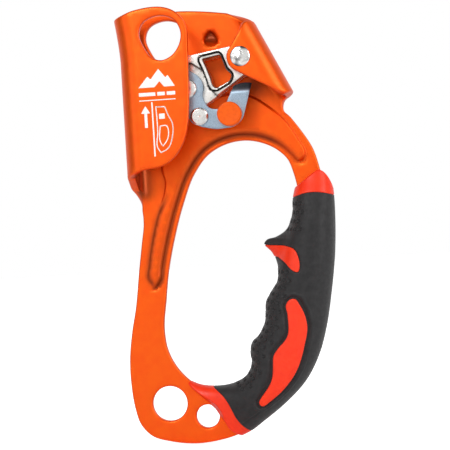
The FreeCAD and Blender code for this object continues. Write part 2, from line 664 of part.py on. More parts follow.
# ---------------------------------------------------------------- assembly
frame = make_frame()
casting = make_cam()
joined("cam", [casting, *cam_teeth()])
coil("cam_spring", AXLE, size("cam_coil_radius"), 3, size("cam_back") - 0.3,
     (4.0, 2.6))
make_axle_group()
make_lever()
make_lever_group()
coil("lever_spring", PIVOT, size("lever_coil_radius"), 2,
     size("cam_back") - size("cam_width") + size("shelf_depth") + 2.7)
make_grip(frame)
doc.recompute()

NODES = ["frame", "axle_rivet", "axle_tail_washer", "cam", "cam_bush", "cam_washer_rear",
         "cam_washer_front", "cam_spring", "lever_plate", "lever_pivot_rivet",
         "lever_washer", "lever_spring", "thumb_knob", "knob_rivet", "park_stud",
         "grip_half_front", "grip_half_rear", "grip_rubber", "panel_front", "panel_rear",
         "hook_inlay_front", "hook_inlay_rear", "grip_pins"]
for item in doc.Objects:
    if "Invalid" in item.State or "Error" in item.State:
        raise RuntimeError(f"{item.Label} failed: {item.State}")
os.makedirs("parts", exist_ok=True)
for node in NODES:
    shape = doc.getObjectsByLabel(node)[0].Shape
    if shape.isNull() or not shape.isValid() or not shape.Solids:
        raise RuntimeError(f"{node} has no sound shape")
    print(f"{node}: {len(shape.Solids)} solid(s), {shape.Volume:.0f} mm3")
    shape.exportStep(f"parts/{node}.step")
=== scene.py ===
# %% [markdown]
# # A handled rope ascender
# A climber slides this clamp up a fixed rope and hangs from it. A single aluminium sheet is
# bent into a channel for the rope, a toothed cam bites the rope, and a rubber grip is
# moulded round the handle. The design model fixes every size and every joint. This lesson
# dresses that frame: it makes surfaces with numpy and finishes with shader nodes.

# %% Load the design model
import bmesh
import bpy
import numpy as np
from mathutils import Matrix, Vector
from mathutils.geometry import delaunay_2d_cdt


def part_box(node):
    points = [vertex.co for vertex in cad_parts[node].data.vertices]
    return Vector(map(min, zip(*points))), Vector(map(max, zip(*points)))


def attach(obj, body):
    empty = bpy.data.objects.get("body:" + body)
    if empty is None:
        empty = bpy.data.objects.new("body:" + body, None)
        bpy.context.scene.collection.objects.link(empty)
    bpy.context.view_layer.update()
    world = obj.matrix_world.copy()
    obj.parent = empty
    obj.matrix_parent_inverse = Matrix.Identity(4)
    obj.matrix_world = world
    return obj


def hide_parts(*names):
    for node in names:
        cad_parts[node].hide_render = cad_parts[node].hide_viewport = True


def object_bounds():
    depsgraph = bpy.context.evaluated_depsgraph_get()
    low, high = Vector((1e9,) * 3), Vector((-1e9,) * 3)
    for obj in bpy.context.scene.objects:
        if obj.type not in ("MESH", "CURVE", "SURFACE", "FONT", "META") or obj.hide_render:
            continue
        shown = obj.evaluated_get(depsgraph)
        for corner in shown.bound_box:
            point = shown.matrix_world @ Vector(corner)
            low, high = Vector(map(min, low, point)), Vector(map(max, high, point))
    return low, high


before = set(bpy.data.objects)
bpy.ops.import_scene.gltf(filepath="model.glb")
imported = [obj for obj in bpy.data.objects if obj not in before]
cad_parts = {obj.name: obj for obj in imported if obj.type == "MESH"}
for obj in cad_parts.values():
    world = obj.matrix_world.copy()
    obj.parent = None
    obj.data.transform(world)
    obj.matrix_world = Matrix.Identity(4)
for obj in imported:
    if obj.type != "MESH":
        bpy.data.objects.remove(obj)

for starter in ("Cube", "Light", "Camera"):       # Blender's own start-up objects
    if starter in bpy.data.objects:
        bpy.data.objects.remove(bpy.data.objects[starter])
cad_low, cad_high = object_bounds()
print("design box in mm:", [round(v * 1000, 1) for v in (*cad_low, *cad_high)])

# %% [markdown]
# Outlines are easier to read in millimetres, so every shape is worked out in millimetres
# and scaled once, when its mesh is made. Places come from the boxes of the design model's
# nodes, so that each new surface lands where its solid is.

# %% Places read from the design model
MM = 0.001
AROUND = 2 * np.pi


def low_high(node):
    """Lowest and highest corner of a design node in millimetres."""
    return tuple(np.array(corner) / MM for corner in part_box(node))


def middle(node):
    """Centre of a node across and up, as seen from the front."""
    low, high = low_high(node)
    return (low[[0, 2]] + high[[0, 2]]) / 2


axle = middle("axle_rivet")
pivot = middle("lever_pivot_rivet")
knob = middle("thumb_knob")
stud = middle("park_stud")
OUTER_Y = low_high("frame")[1][1]         # rear face of the back plate
FLAP_Y = low_high("frame")[0][1]          # front face of the flap and the ear
CAM_FRONT, CAM_REAR = (corner[1] for corner in low_high("cam"))
LEVER_FRONT, LEVER_REAR = (corner[1] for corner in low_high("lever_plate"))
print("axle at", axle.round(1), "lever pivot at", pivot.round(1))

# %% [markdown]
# ## Drawing outlines
# A stamped part is drawn as a few lines, arcs and curves. The curve used here is a
# Catmull-Rom spline, because it passes through its points and needs no handles. Sharp
# corners are then softened a little, as a worn punch or a tumbling barrel would do.


# %% Curves and outlines
def even(line, step, closed=False):
    """The same line with even spacing: each column is read off at equal lengths."""
    if closed:
        line = np.concatenate([line, line[:1]])
    length = np.concatenate([[0], np.cumsum(np.hypot(*np.diff(line[:, :2], axis=0).T))])
    count = max(4, round(length[-1] / step))
    places = np.linspace(0, length[-1], count, endpoint=not closed)
    return np.stack([np.interp(places, length, column) for column in line.T], axis=1)


def curve_through(points, step=0.25, closed=False):
    """Smooth line through points. Between two of them it is the cubic that starts and ends
    with the slopes there, and a slope is the mean of the two chords, the nearer one
    weighing more. Extra columns follow along."""
    points = np.array(points, float)
    if closed:
        points = np.concatenate([points[-1:], points, points[:2]])
    else:
        points = np.concatenate([2 * points[:1] - points[1:2], points,
                                 2 * points[-1:] - points[-2:-1]])
    chord = np.diff(points, axis=0)
    length = np.hypot(chord[:, 0], chord[:, 1])[:, None]
    slope = (chord[:-1] / length[:-1] * length[1:] + chord[1:] / length[1:] * length[:-1])
    slope = slope / (length[:-1] + length[1:])
    start, end, span = points[1:-2, None], points[2:-1, None], length[1:-1, None]
    t = np.linspace(0, 1, 24, endpoint=False)[None, :, None]
    line = ((2 * t**3 - 3 * t**2 + 1) * start + (t**3 - 2 * t**2 + t) * span * slope[:-1, None]
            + (3 * t**2 - 2 * t**3) * end + (t**3 - t**2) * span * slope[1:, None])
    line = line.reshape(-1, points.shape[1])
    if not closed:
        line = np.concatenate([line, points[-2:-1]])
    return even(line, step, closed)


def circle_centre(a, b, c):
    """Centre of the circle through three complex points, where the bisectors meet."""
    w = (c - a) / (b - a)
    return (b - a) * (w - abs(w) ** 2) / (2j * w.imag) + a


def arc_through(first, second, third):
    """Arc through three points, swept about the centre of their circle."""
    a, b, c = (complex(*p) for p in (first, second, third))
    centre = circle_centre(a, b, c)
    turn = np.angle((c - centre) / (a - centre))
    to_second = np.angle((b - centre) / (a - centre))
    if turn * to_second < 0 or abs(to_second) > abs(turn):
        turn -= np.sign(turn) * AROUND
    swept = centre + (a - centre) * np.exp(1j * np.linspace(0, turn, 40))
    return np.stack([swept.real, swept.imag], axis=1)


def soften(loop, reach):
    """Rounds the corners of an even loop: each point becomes the mean of its neighbours
    under a bell curve as wide as reach, worked out as one product of Fourier series."""
    path = loop[:, 0] + 1j * loop[:, 1]
    spacing = np.abs(np.diff(path)).mean()
    bell = np.exp(-2 * (np.pi * np.fft.fftfreq(len(path), spacing) * reach) ** 2)
    path = np.fft.ifft(np.fft.fft(path) * bell)
    return np.stack([path.real, path.imag], axis=1)


def outline(start, *steps, soft=0.4, step=0.5):
    """Closed outline: a point is a line, a pair of points an arc, a list a curve."""
    here, parts = start, []
    for part in steps:
        if isinstance(part, list):
            parts.append(curve_through([here, *part]))
            here = part[-1]
        elif isinstance(part[0], tuple):
            parts.append(arc_through(here, *part))
            here = part[1]
        else:
            parts.append(np.array([here, part], float))
            here = part
    return soften(even(np.concatenate(parts), step, closed=True), soft)


def ring(centre, radius, count=48, squash=1.0):
    """Circle or, with squash, an ellipse that is lower than it is wide."""
    turn = np.linspace(0, AROUND, count, endpoint=False)
    return np.array(centre) + radius * np.stack([np.cos(turn), squash * np.sin(turn)], 1)


def inward(loop):
    """Unit direction to the left of travel at each point of a loop."""
    along = np.roll(loop, -1, 0) - np.roll(loop, 1, 0)
    left = np.stack([-along[:, 1], along[:, 0]], axis=1)
    return left / np.hypot(left[:, 0], left[:, 1])[:, None]


def turned_way(loop, anticlockwise):
    """The loop, reversed if its signed area says that it runs the other way."""
    area = np.sum(loop[:, 0] * np.roll(loop[:, 1], -1) - loop[:, 1] * np.roll(loop[:, 0], -1))
    return loop if (area > 0) == anticlockwise else loop[::-1]


def edge_distance(points, loops):
    """Distance from each point to the nearest side of the loops. It is positive inside
    them, where a line to the right crosses an odd number of sides."""
    start = np.concatenate(loops)
    side = np.concatenate([np.roll(loop, -1, 0) for loop in loops]) - start
    size = (side ** 2).sum(1) + 1e-12
    found = []
    for block in np.array_split(points, max(1, len(points) // 1500)):
        gap = block[:, None] - start[None]
        share = np.clip((gap * side).sum(2) / size, 0, 1)
        near = np.sqrt(((gap - share[..., None] * side) ** 2).sum(2)).min(1)
        level = block[:, 1:2]
        straddles = (start[:, 1] > level) != (start[:, 1] + side[:, 1] > level)
        rise = np.where(np.abs(side[:, 1]) < 1e-12, 1e-12, side[:, 1])
        meets = start[:, 0] + (level - start[:, 1]) * side[:, 0] / rise
        odd = (straddles & (block[:, :1] < meets)).sum(1) % 2 == 1
        found.append(np.where(odd, near, -near))
    return np.concatenate(found)


def cross(a, b):
    """Cross product of flat vectors: a across times b up, less a up times b across."""
    return a[..., 0] * b[..., 1] - a[..., 1] * b[..., 0]


def ease(x):
    """Smooth step: 0 below 0, 1 above 1, and 3x squared less 2x cubed between."""
    x = np.clip(x, 0, 1)
    return x * x * (3 - 2 * x)


# %% [markdown]
# ## Solids from outlines
# Stamped and cast parts have rounded edges that catch the light as thin bright lines. A
# Bevel modifier could add them, but it struggles on a cap with many holes. Here each
# outline is carried through the edge's own profile, a quarter circle, a straight wall and
# another quarter circle, and the two faces are filled with even triangles, so that the
# plate can still be bent and embossed afterwards.


# %% Plates with rounded edges
def quads(rows, columns, closed=True):
    """Corner numbers of the faces of a grid of rows by columns, one array."""
    number = np.arange(rows * columns).reshape(rows, columns)
    if closed:
        number = np.concatenate([number, number[:, :1]], axis=1)
    faces = np.stack([number[:-1, :-1], number[:-1, 1:], number[1:, 1:], number[1:, :-1]], -1)
    return faces.reshape(-1, 4)


def plate_solid(outer, holes=(), thick=2.0, edge=0.3, grid=1.3, rows=(), turns=4):
    """Plate as points (across, up, depth) and faces. At turn t of its edge the wall stands
    edge times (1 - sin t) inside the outline and edge times (1 - cos t) below the face.
    rows are extra loops whose points the faces' triangles follow."""
    loops = [turned_way(outer, True), *(turned_way(hole, False) for hole in holes)]
    turn = np.linspace(0, np.pi / 2, turns + 1)
    inset, sink = edge * (1 - np.sin(turn)), edge * (1 - np.cos(turn))
    inset = np.concatenate([inset, inset[::-1]])
    depth = np.concatenate([sink, thick - sink[::-1]])
    points, faces, borders, count = [], [], [], 0
    for loop in loops:
        wall = loop[None] + inset[:, None, None] * inward(loop)[None]
        level = np.broadcast_to(depth[:, None, None], (*wall.shape[:2], 1))
        points.append(np.concatenate([wall, level], axis=2).reshape(-1, 3))
        faces.append(quads(len(depth), len(loop)) + count)
        borders.append(wall[0])
        count += len(points[-1])
    # An even field of points inside the border, each row set half a step along.
    low, high = outer.min(0), outer.max(0)
    across, up = np.meshgrid(np.arange(low[0], high[0], grid),
                             np.arange(low[1], high[1], grid * 0.866))
    across = across + grid / 2 * (np.arange(len(up)) % 2)[:, None]
    field = np.stack([across.ravel(), up.ravel()], axis=1)
    field = field[edge_distance(field, borders) > 0.5 * grid]
    if len(rows):
        guides = np.concatenate(rows)
        field = field[np.abs(edge_distance(field, rows)) > 0.5 * grid]
        guides = guides[edge_distance(guides, borders) > 0.12]
        field = np.concatenate([field, guides])
    sides, first = [], 0
    for border in borders:
        here = first + np.arange(len(border))
        sides.append(np.stack([here, np.roll(here, -1)], axis=1))
        first += len(border)
    cap = delaunay_2d_cdt([Vector(p) for p in np.concatenate([*borders, field]).tolist()],
                          np.concatenate(sides).tolist(), [], 0, 1e-5)
    flat = np.array([tuple(p) for p in cap[0]])
    tris = np.array([face for face in cap[2] if len(face) == 3])
    tris = tris[edge_distance(flat[tris].mean(1), borders) > 0]
    for level in (0.0, thick):
        points.append(np.column_stack([flat, np.full(len(flat), level)]))
        faces.append(tris + count)
        count += len(flat)
    return np.concatenate(points), faces


def make_piece(name, points, faces, finish, body, replaces=(), sharp=None):
    """Object from points in millimetres: doubles are merged, faces are turned outwards,
    and edges sharper than sharp degrees stay crisp."""
    mesh = bpy.data.meshes.new(name)
    corners = [face for group in faces for face in group.tolist()]
    mesh.from_pydata((points * MM).tolist(), [], corners)
    work = bmesh.new()
    work.from_mesh(mesh)
    bmesh.ops.remove_doubles(work, verts=work.verts, dist=0.002 * MM)
    bmesh.ops.dissolve_degenerate(work, edges=work.edges, dist=0.0005 * MM)
    bmesh.ops.holes_fill(work, edges=[edge for edge in work.edges if edge.is_boundary])
    bmesh.ops.recalc_face_normals(work, faces=work.faces)
    open_edges = sum(not edge.is_manifold for edge in work.edges)
    work.to_mesh(mesh)
    work.free()
    mesh.shade_smooth()
    if sharp is not None:
        mesh.set_sharp_from_angle(angle=np.radians(sharp))
    mesh.materials.append(finish)
    piece = bpy.data.objects.new(name, mesh)
    bpy.context.scene.collection.objects.link(piece)
    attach(piece, body)
    if replaces:
        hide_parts(*replaces)
    print(f"{name}: {len(mesh.polygons)} faces, {open_edges} open edges")
    return piece


def face_front(points, front):
    """Points (across, up, depth) of a flat plate whose face is at Y = front."""
    return np.stack([points[:, 0], front + points[:, 2], points[:, 1]], axis=1)


# %% [markdown]
# ## Camera and light
# The camera stands straight in front with a long lens, turned a few degrees, as for a
# catalogue picture. One big soft light on the right draws the bright line down every bend,
# a weaker one fills the left, and a small one stands high in front. The room does the rest:
# it is bright in front of the piece and behind it, and dim at the sides.

# %% Camera
aim = np.array([28.3, 0.0, 75.4]) * MM
azimuth, roll, distance = np.radians(6.0), np.radians(3.5), 700 * MM
back = np.array([np.sin(azimuth), -np.cos(azimuth), 0.0])
level_right = np.array([np.cos(azimuth), np.sin(azimuth), 0.0])
level_up = np.array([0.0, 0.0, 1.0])
right = level_right * np.cos(roll) - level_up * np.sin(roll)
up = level_right * np.sin(roll) + level_up * np.cos(roll)
camera = bpy.data.objects.new("camera", bpy.data.cameras.new("camera"))
bpy.context.scene.collection.objects.link(camera)
camera.data.lens = 130.2
camera.data.sensor_width = 36
camera.matrix_world = Matrix([
    (*row, 0.0) for row in (right, up, back)] + [(*(aim + back * distance), 1.0)]).transposed()
camera.data.clip_start, camera.data.clip_end = 0.01, 20
bpy.context.scene.camera = camera
print("camera", round(distance / MM), "mm away")


# %% Lights, room and floor
def soft_light(name, place, target, width, height, power):
    """Rectangular lamp that faces a target; places are in millimetres."""
    lamp = bpy.data.lights.new(name, "AREA")
    lamp.shape, lamp.size, lamp.size_y, lamp.energy = "RECTANGLE", width, height, power
    holder = bpy.data.objects.new(name, lamp)
    bpy.context.scene.collection.objects.link(holder)
    holder.location = Vector(place) * MM
    heading = Vector(target) * MM - holder.location
    holder.rotation_euler = heading.to_track_quat("-Z", "Y").to_euler()


ROOM_LIGHT = 0.74
soft_light("right_box", (760, -420, 260), (30, 0, 80), 0.45, 0.9, 4.2)
soft_light("left_box", (-700, -560, 240), (20, 0, 80), 0.4, 0.8, 0.8)
soft_light("key_box", (-240, -820, 560), (30, 0, 80), 0.3, 0.3, 3)

room = bpy.data.worlds.new("white_room")
bpy.context.scene.world = room
room.use_nodes = True
nodes, links = room.node_tree.nodes, room.node_tree.links
seen = nodes["Background"]                      # what the camera sees behind the piece
seen.inputs["Color"].default_value = (1, 1, 1, 1)
lit = nodes.new("ShaderNodeBackground")         # what lights the piece: a dimmer room
heading = nodes.new("ShaderNodeTexCoord")
axes = nodes.new("ShaderNodeSeparateXYZ")
forward = nodes.new("ShaderNodeMath")           # 1 behind the camera, 0 behind the piece
forward.operation = "MULTIPLY_ADD"
forward.inputs[1].default_value, forward.inputs[2].default_value = -0.5, 0.5
ramp = nodes.new("ShaderNodeValToRGB")
ramp.color_ramp.elements.new(0.5)
for stop, position, grey in zip(ramp.color_ramp.elements, (0.22, 0.55, 0.96), (1.0, 0.16, 1.0)):
    stop.position, stop.color = position, (grey, grey, grey, 1)
links.new(heading.outputs["Generated"], axes.inputs["Vector"])
links.new(axes.outputs["Y"], forward.inputs[0])
links.new(forward.outputs["Value"], ramp.inputs["Fac"])
links.new(ramp.outputs["Color"], lit.inputs["Color"])
lit.inputs["Strength"].default_value = ROOM_LIGHT
path, mix = nodes.new("ShaderNodeLightPath"), nodes.new("ShaderNodeMixShader")
links.new(path.outputs["Is Camera Ray"], mix.inputs["Fac"])
links.new(lit.outputs["Background"], mix.inputs[1])
links.new(seen.outputs["Background"], mix.inputs[2])
links.new(mix.outputs["Shader"], nodes["World Output"].inputs["Surface"])
bpy.context.scene.view_settings.view_transform = "Standard"

# The floor is a wide disc: rings of growing radius, each at the height of the lowest point.
FLOOR_UP = cad_low[2] / MM - 0.3
radii = np.array([1e-6, 60, 160, 400, 900, 1800, 3000])[:, None]
turn = np.linspace(0, AROUND, 64, endpoint=False)[None]
disc = np.stack([28 + radii * np.cos(turn), radii * np.sin(turn),
                 np.full((len(radii), 64), FLOOR_UP)], axis=-1).reshape(-1, 3)
floor_mesh = bpy.data.meshes.new("floor")
floor_mesh.from_pydata((disc * MM).tolist(), [], quads(len(radii), 64).tolist())
floor = bpy.data.objects.new("floor", floor_mesh)
bpy.context.scene.collection.objects.link(floor)


# %% [markdown]
# ## Finishes
# Every finish is a Principled shader whose colour, roughness and small relief come from
# noise read in Object coordinates, so it stays on the piece when the piece moves. Colours
# are written as screen values, which is how a swatch is read.


# %% Finish helpers
def screen(red, green, blue):
    """Screen colour, 0 to 255, as the linear colour that a shader works with."""
    c = np.array([red, green, blue]) / 255
    return (*np.where(c <= 0.04045, c / 12.92, ((c + 0.055) / 1.055) ** 2.4), 1.0)


def finish(name, colour, **sockets):
    """Principled material; the named sockets take plain numbers."""
    material = bpy.data.materials.new(name)
    material.use_nodes = True
    shader = material.node_tree.nodes["Principled BSDF"]
    shader.inputs["Base Color"].default_value = colour
    for socket, value in sockets.items():
        shader.inputs[socket.replace("_", " ")].default_value = value
    return material


def noise(material, scale, stretch=(1, 1, 1), detail=3.0):
    """Noise socket in Object coordinates; scale is in patches per metre."""
    nodes, links = material.node_tree.nodes, material.node_tree.links
    place = nodes.new("ShaderNodeTexCoord")
    mapping = nodes.new("ShaderNodeMapping")
    mapping.inputs["Scale"].default_value = stretch
    cloud = nodes.new("ShaderNodeTexNoise")
    cloud.inputs["Scale"].default_value = scale
    cloud.inputs["Detail"].default_value = detail
    links.new(place.outputs["Object"], mapping.inputs["Vector"])
    links.new(mapping.outputs["Vector"], cloud.inputs["Vector"])
    return cloud.outputs["Fac"]


def vary(material, source, socket, first, last, low=0.35, high=0.65):
    """Drives a socket from first to last as the source goes from low to high."""
    nodes, links = material.node_tree.nodes, material.node_tree.links
    shader = nodes["Principled BSDF"]
    if socket == "Base Color":
        ramp = nodes.new("ShaderNodeValToRGB")
        for stop, place, colour in zip(ramp.color_ramp.elements, (low, high), (first, last)):
            stop.position, stop.color = place, colour
        links.new(source, ramp.inputs["Fac"])
        links.new(ramp.outputs["Color"], shader.inputs[socket])
        return
    span = nodes.new("ShaderNodeMapRange")
    for key, value in (("From Min", low), ("From Max", high), ("To Min", first),
                       ("To Max", last)):
        span.inputs[key].default_value = value
    links.new(source, span.inputs["Value"])
    links.new(span.outputs["Result"], shader.inputs[socket])


def relief(material, source, strength, height):
    """Small bumps: height is in millimetres."""
    nodes, links = material.node_tree.nodes, material.node_tree.links
    bump = nodes.new("ShaderNodeBump")
    bump.inputs["Strength"].default_value = strength
    bump.inputs["Distance"].default_value = height * MM
    links.new(source, bump.inputs["Height"])
    links.new(bump.outputs["Normal"], nodes["Principled BSDF"].inputs["Normal"])


# %% [markdown]
# Anodised aluminium is a dyed glassy layer over bright metal. Its colour is deep like a
# metal's, but its gloss is partly white, so the shader is three parts metal with a thin satin
# coat. A very fine grain is left from blasting the sheet before it is dyed.

# %% Metal finishes
def paint_shade(material, attribute, colour):
    """Lets a piece's own attribute, 0 to 1, bring in a darker colour: painted shade, standing in
    for the shadow at the bottom of grooves, in folds and under overhangs."""
    nodes, links = material.node_tree.nodes, material.node_tree.links
    base = nodes["Principled BSDF"].inputs["Base Color"]
    before = base.links[0].from_socket
    depth = nodes.new("ShaderNodeAttribute")
    depth.attribute_name = attribute
    blend = nodes.new("ShaderNodeMix")
    blend.data_type = "RGBA"
    links.new(depth.outputs["Fac"], blend.inputs["Factor"])
    links.new(before, blend.inputs["A"])
    blend.inputs["B"].default_value = colour
    links.new(blend.outputs["Result"], base)


def store_shade_paint(piece, name, values):
    """Stores one number per point of a piece, for its finish to read."""
    piece.data.attributes.new(name, "FLOAT", "POINT").data.foreach_set("value", values)


def places_of(piece):
    """Points of a piece in millimetres, one array."""
    flat = np.empty(len(piece.data.vertices) * 3)
    piece.data.vertices.foreach_get("co", flat)
    return flat.reshape(-1, 3) / MM


alloy = finish("anodised_orange", screen(255, 90, 0), Metallic=0.75, Roughness=0.34,
               Specular_IOR_Level=0.15, Coat_Weight=0.28, Coat_Roughness=0.3)
vary(alloy, noise(alloy, 260), "Base Color", screen(253, 88, 0), screen(255, 95, 0))
vary(alloy, noise(alloy, 900), "Roughness", 0.33, 0.41)
relief(alloy, noise(alloy, 5200, detail=2), 0.12, 0.02)
# Painted shade: the frame's attribute brings in dark orange at the foot of the emboss, in the
# dimple, inside the folds and where the ear shades the plate.
paint_shade(alloy, "painted_shade", screen(104, 40, 0))

chrome = finish("cast_chrome", screen(246, 240, 234), Metallic=0.9, Roughness=0.26)
vary(chrome, noise(chrome, 420), "Roughness", 0.22, 0.32)
vary(chrome, noise(chrome, 300), "Base Color", screen(240, 235, 228), screen(250, 247, 243))
relief(chrome, noise(chrome, 1500), 0.05, 0.02)
# Painted shade: near black in the groove round the cam's window and along the step of its shelf.
paint_shade(chrome, "painted_shade", screen(38, 28, 24))

rivet = finish("bright_rivet", screen(232, 230, 226), Metallic=1.0, Roughness=0.24)
vary(rivet, noise(rivet, 500), "Roughness", 0.24, 0.3)
relief(rivet, noise(rivet, 3000, detail=1), 0.04, 0.01)

peened_head_painted_reflections = finish("peened_head_painted_reflections", screen(226, 225, 222), Metallic=1.0, Roughness=0.2)
vary(peened_head_painted_reflections, noise(peened_head_painted_reflections, 700), "Roughness", 0.16, 0.26)
# The base colour swings between dark grey and near white in broad patches: painted reflections,
# the dark and bright parts of the room mottling the head.
vary(peened_head_painted_reflections, noise(peened_head_painted_reflections, 420, detail=0), "Base Color", screen(96, 96, 98),
     screen(244, 243, 240))
relief(peened_head_painted_reflections, noise(peened_head_painted_reflections, 340, detail=0), 0.6, 0.4)

satin = finish("satin_lever", screen(150, 168, 184), Metallic=0.85, Roughness=0.42)
vary(satin, noise(satin, 700, (1, 1, 6)), "Roughness", 0.36, 0.5)
vary(satin, noise(satin, 3400, detail=2), "Base Color", screen(138, 157, 174),
     screen(166, 184, 199))
relief(satin, noise(satin, 4200, detail=2), 0.3, 0.02)
# Painted shadow: near black on the end of the lever's arm, where the ear shades it.
paint_shade(satin, "painted_shade", screen(30, 34, 42))

spring = finish("spring_wire", screen(178, 178, 176), Metallic=1.0, Roughness=0.3)
vary(spring, noise(spring, 1200, (1, 6, 1)), "Roughness", 0.24, 0.4)

bronze = finish("bush_bronze", screen(196, 150, 90), Metallic=1.0, Roughness=0.38)
vary(bronze, noise(bronze, 800), "Base Color", screen(178, 132, 74), screen(206, 162, 102))

# %% [markdown]
# The two grip plastics differ mostly in gloss. The hard shell and the inlays are a bright
# glossy orange red, and the overmoulded rubber is a dark grey that is nearly matt, with a
# fine spark-eroded texture from the mould.

# %% Plastic and print finishes
shell = finish("shell_plastic", screen(246, 52, 14), Roughness=0.36, Specular_IOR_Level=0.35)
vary(shell, noise(shell, 340), "Base Color", screen(242, 49, 12), screen(250, 56, 17))
vary(shell, noise(shell, 1100), "Roughness", 0.32, 0.42)
relief(shell, noise(shell, 3600, detail=2), 0.12, 0.03)

button = finish("button_plastic", screen(236, 90, 2), Roughness=0.42, Specular_IOR_Level=0.2)
vary(button, noise(button, 700), "Base Color", screen(230, 86, 1), screen(242, 94, 4))
relief(button, noise(button, 2600, (1, 1, 2)), 0.2, 0.03)

rubber = finish("soft_rubber", screen(36, 35, 36), Roughness=0.5, Specular_IOR_Level=0.3,
                Sheen_Weight=0.12, Sheen_Roughness=0.5)
vary(rubber, noise(rubber, 420), "Base Color", screen(31, 30, 31), screen(40, 39, 40))
vary(rubber, noise(rubber, 900), "Roughness", 0.48, 0.62)
relief(rubber, noise(rubber, 4200, detail=3), 0.3, 0.04)

ink = finish("white_print", screen(250, 247, 243), Roughness=0.5)
vary(ink, noise(ink, 2400), "Base Color", screen(240, 232, 226), screen(252, 250, 248))

studio = finish("pale_floor", screen(250, 250, 250), Roughness=0.7)
studio.node_tree.nodes["Principled BSDF"].inputs["Emission Color"].default_value = (1, 1, 1, 1)
path = studio.node_tree.nodes.new("ShaderNodeLightPath")
glow = studio.node_tree.nodes.new("ShaderNodeMath")     # only the camera sees the floor glow
glow.operation = "MULTIPLY"
glow.inputs[1].default_value = 0.75
studio.node_tree.links.new(path.outputs["Is Camera Ray"], glow.inputs[0])
studio.node_tree.links.new(
    glow.outputs["Value"], studio.node_tree.nodes["Principled BSDF"].inputs["Emission Strength"])
vary(studio, noise(studio, 3), "Roughness", 0.65, 0.75)
floor_mesh.materials.append(studio)
print("finishes:", [m.name for m in bpy.data.materials if m.users])

# %% [markdown]
# ## The frame
# The real frame is one blank stamped from four millimetre sheet and folded twice: forwards
# on the left, to make the rope channel and its flap, and forwards on the right, to make
# the ear that carries the axle. This one is made the same way. The blank is drawn flat,
# embossed, and then every point is rolled round the two folds.

# %% The flat blank
THICK = 4.0
FOLD = 8.5                                  # outside radius of both folds
BEND = -2.1                                 # where the left fold starts, across
QUARTER = FOLD * np.pi / 2                  # outer face's length round one bend
WALL = OUTER_Y - FLAP_Y - 2 * FOLD          # flat part between the two bends
PATH = 2 * QUARTER + WALL
LEAN = np.radians(25.8)                     # the right fold leans towards the rope
EAR_FOOT = np.array([61.6, 130.1])
EAR_OUT = np.array([np.cos(LEAN), np.sin(LEAN)])
EAR_UP = np.array([-np.sin(LEAN), np.cos(LEAN)])


def flap(across, up):
    """Place in the flat blank of a point of the folded flap."""
    return (2 * BEND - PATH - across, up)


def ear(beyond, along):
    """Place in the blank by length beyond the right bend and length along its line."""
    return tuple(EAR_FOOT + EAR_OUT * (beyond - FOLD) + EAR_UP * along)


def ear_from_front(point):
    """Place in the blank of a point of the folded ear."""
    gap = np.array(point) - EAR_FOOT
    return ear(PATH - FOLD - gap @ EAR_OUT, gap @ EAR_UP)


left_and_foot = [(-6.8, 78), (-8.1, 69.7), (-10, 58), (-12.6, 41), (-14.6, 32), (-16.4, 19),
                 (-16.4, 8.6), (-15.2, -1.8), (-13.3, -8.3), (-8.8, -13.5), (-0.3, -16.4),
                 (11.4, -17.7), (20.5, -16.8), (29.6, -14.3), (38, -8.6), (46, -1.5),
                 (54.5, 7.5), (61, 19.5), (65.5, 34), (69, 50), (71, 65), (72, 80),
                 (71.8, 90), (70.5, 97), (68, 106), (63.4, 114), (58.9, 120.4)]
ear_edge = [ear(13.5, -0.4), ear(19.3, -0.2), ear(27.1, 0.6), ear(31.9, 6.1),
            ear(36.8, 12.7), ear(41.3, 19.4)]
ear_top = [ear(19.3, 33.7), ear(13.4, 33.7), ear(9.5, 36.4), ear(5.2, 39.8), ear(0.2, 43.9)]
blank = outline(
    (-6.8, 82), left_and_foot, [(56.5, 122.8), (57.2, 126.4), ear(8.5, -0.7), *ear_edge],
    (ear(41.6, 24.6), ear(38.9, 27.7)), ear(26.9, 34.9), ear_top,
    [(25, 167.5), (13, 168.4), (-2, 167.4), (-7.5, 166.2), (-12, 165.4), (-18.5, 165),
     (-25, 165.1), flap(-7.9, 165.7), flap(0, 167.8), flap(5, 168.6), flap(10, 168.2),
     flap(14.8, 166), flap(18, 162.4), flap(19.5, 158)],
    flap(18.9, 137),
    [flap(18.2, 125), flap(16.5, 115), flap(14.5, 110), flap(11.5, 105.7), flap(8, 102.8),
     flap(4.5, 101.4), flap(0, 100.8), flap(-4, 100.2), (-28.9, 98.9), (-24.6, 97.7),
     (-21.4, 96.4), (-15.4, 93.2), (-10.8, 90.6), (-7.9, 87), (-6.8, 82)],
    soft=0.7, step=0.8)
print("blank is", np.ptp(blank, axis=0).round(1), "mm")

# %% Openings of the blank
handle_opening = curve_through(
    [(8.1, 10.5), (3, 17), (0.3, 23.5), (-0.6, 30.7), (1, 45), (3, 58), (6.2, 71),
     (10.8, 85.3), (16.6, 98.3), (23.1, 106.1), (30.9, 110), (40, 111), (47.8, 109),
     (53, 106), (56.9, 102), (59.2, 95.7), (60.6, 88), (60.5, 76), (57.5, 60), (54.6, 50),
     (51, 38), (46.5, 26), (41.5, 15.5), (35, 8.5), (27, 4), (17, 4.5)], 0.8, True)
egg = np.array([(8, 164.7), (14, 162.6), (16.6, 157), (15.4, 151.6), (11.8, 147.4),
                (7.8, 146), (3.6, 147.6), (0.9, 152), (-0.3, 157), (2.3, 162.6)])
egg_on_flap = np.stack(flap(*egg.T), axis=1)
AXLE_HOLE, LARGE_HOLE, SMALL_HOLE = 3.0, 7.5, 5.0
openings = [handle_opening, curve_through(egg, 0.7, True), curve_through(egg_on_flap, 0.7, True),
            ring((0, 0), LARGE_HOLE, 72), ring((16.1, -6.2), SMALL_HOLE, 52),
            ring(axle, AXLE_HOLE, 30), ring(ear_from_front(axle), AXLE_HOLE, 30)]
print(len(openings), "openings")


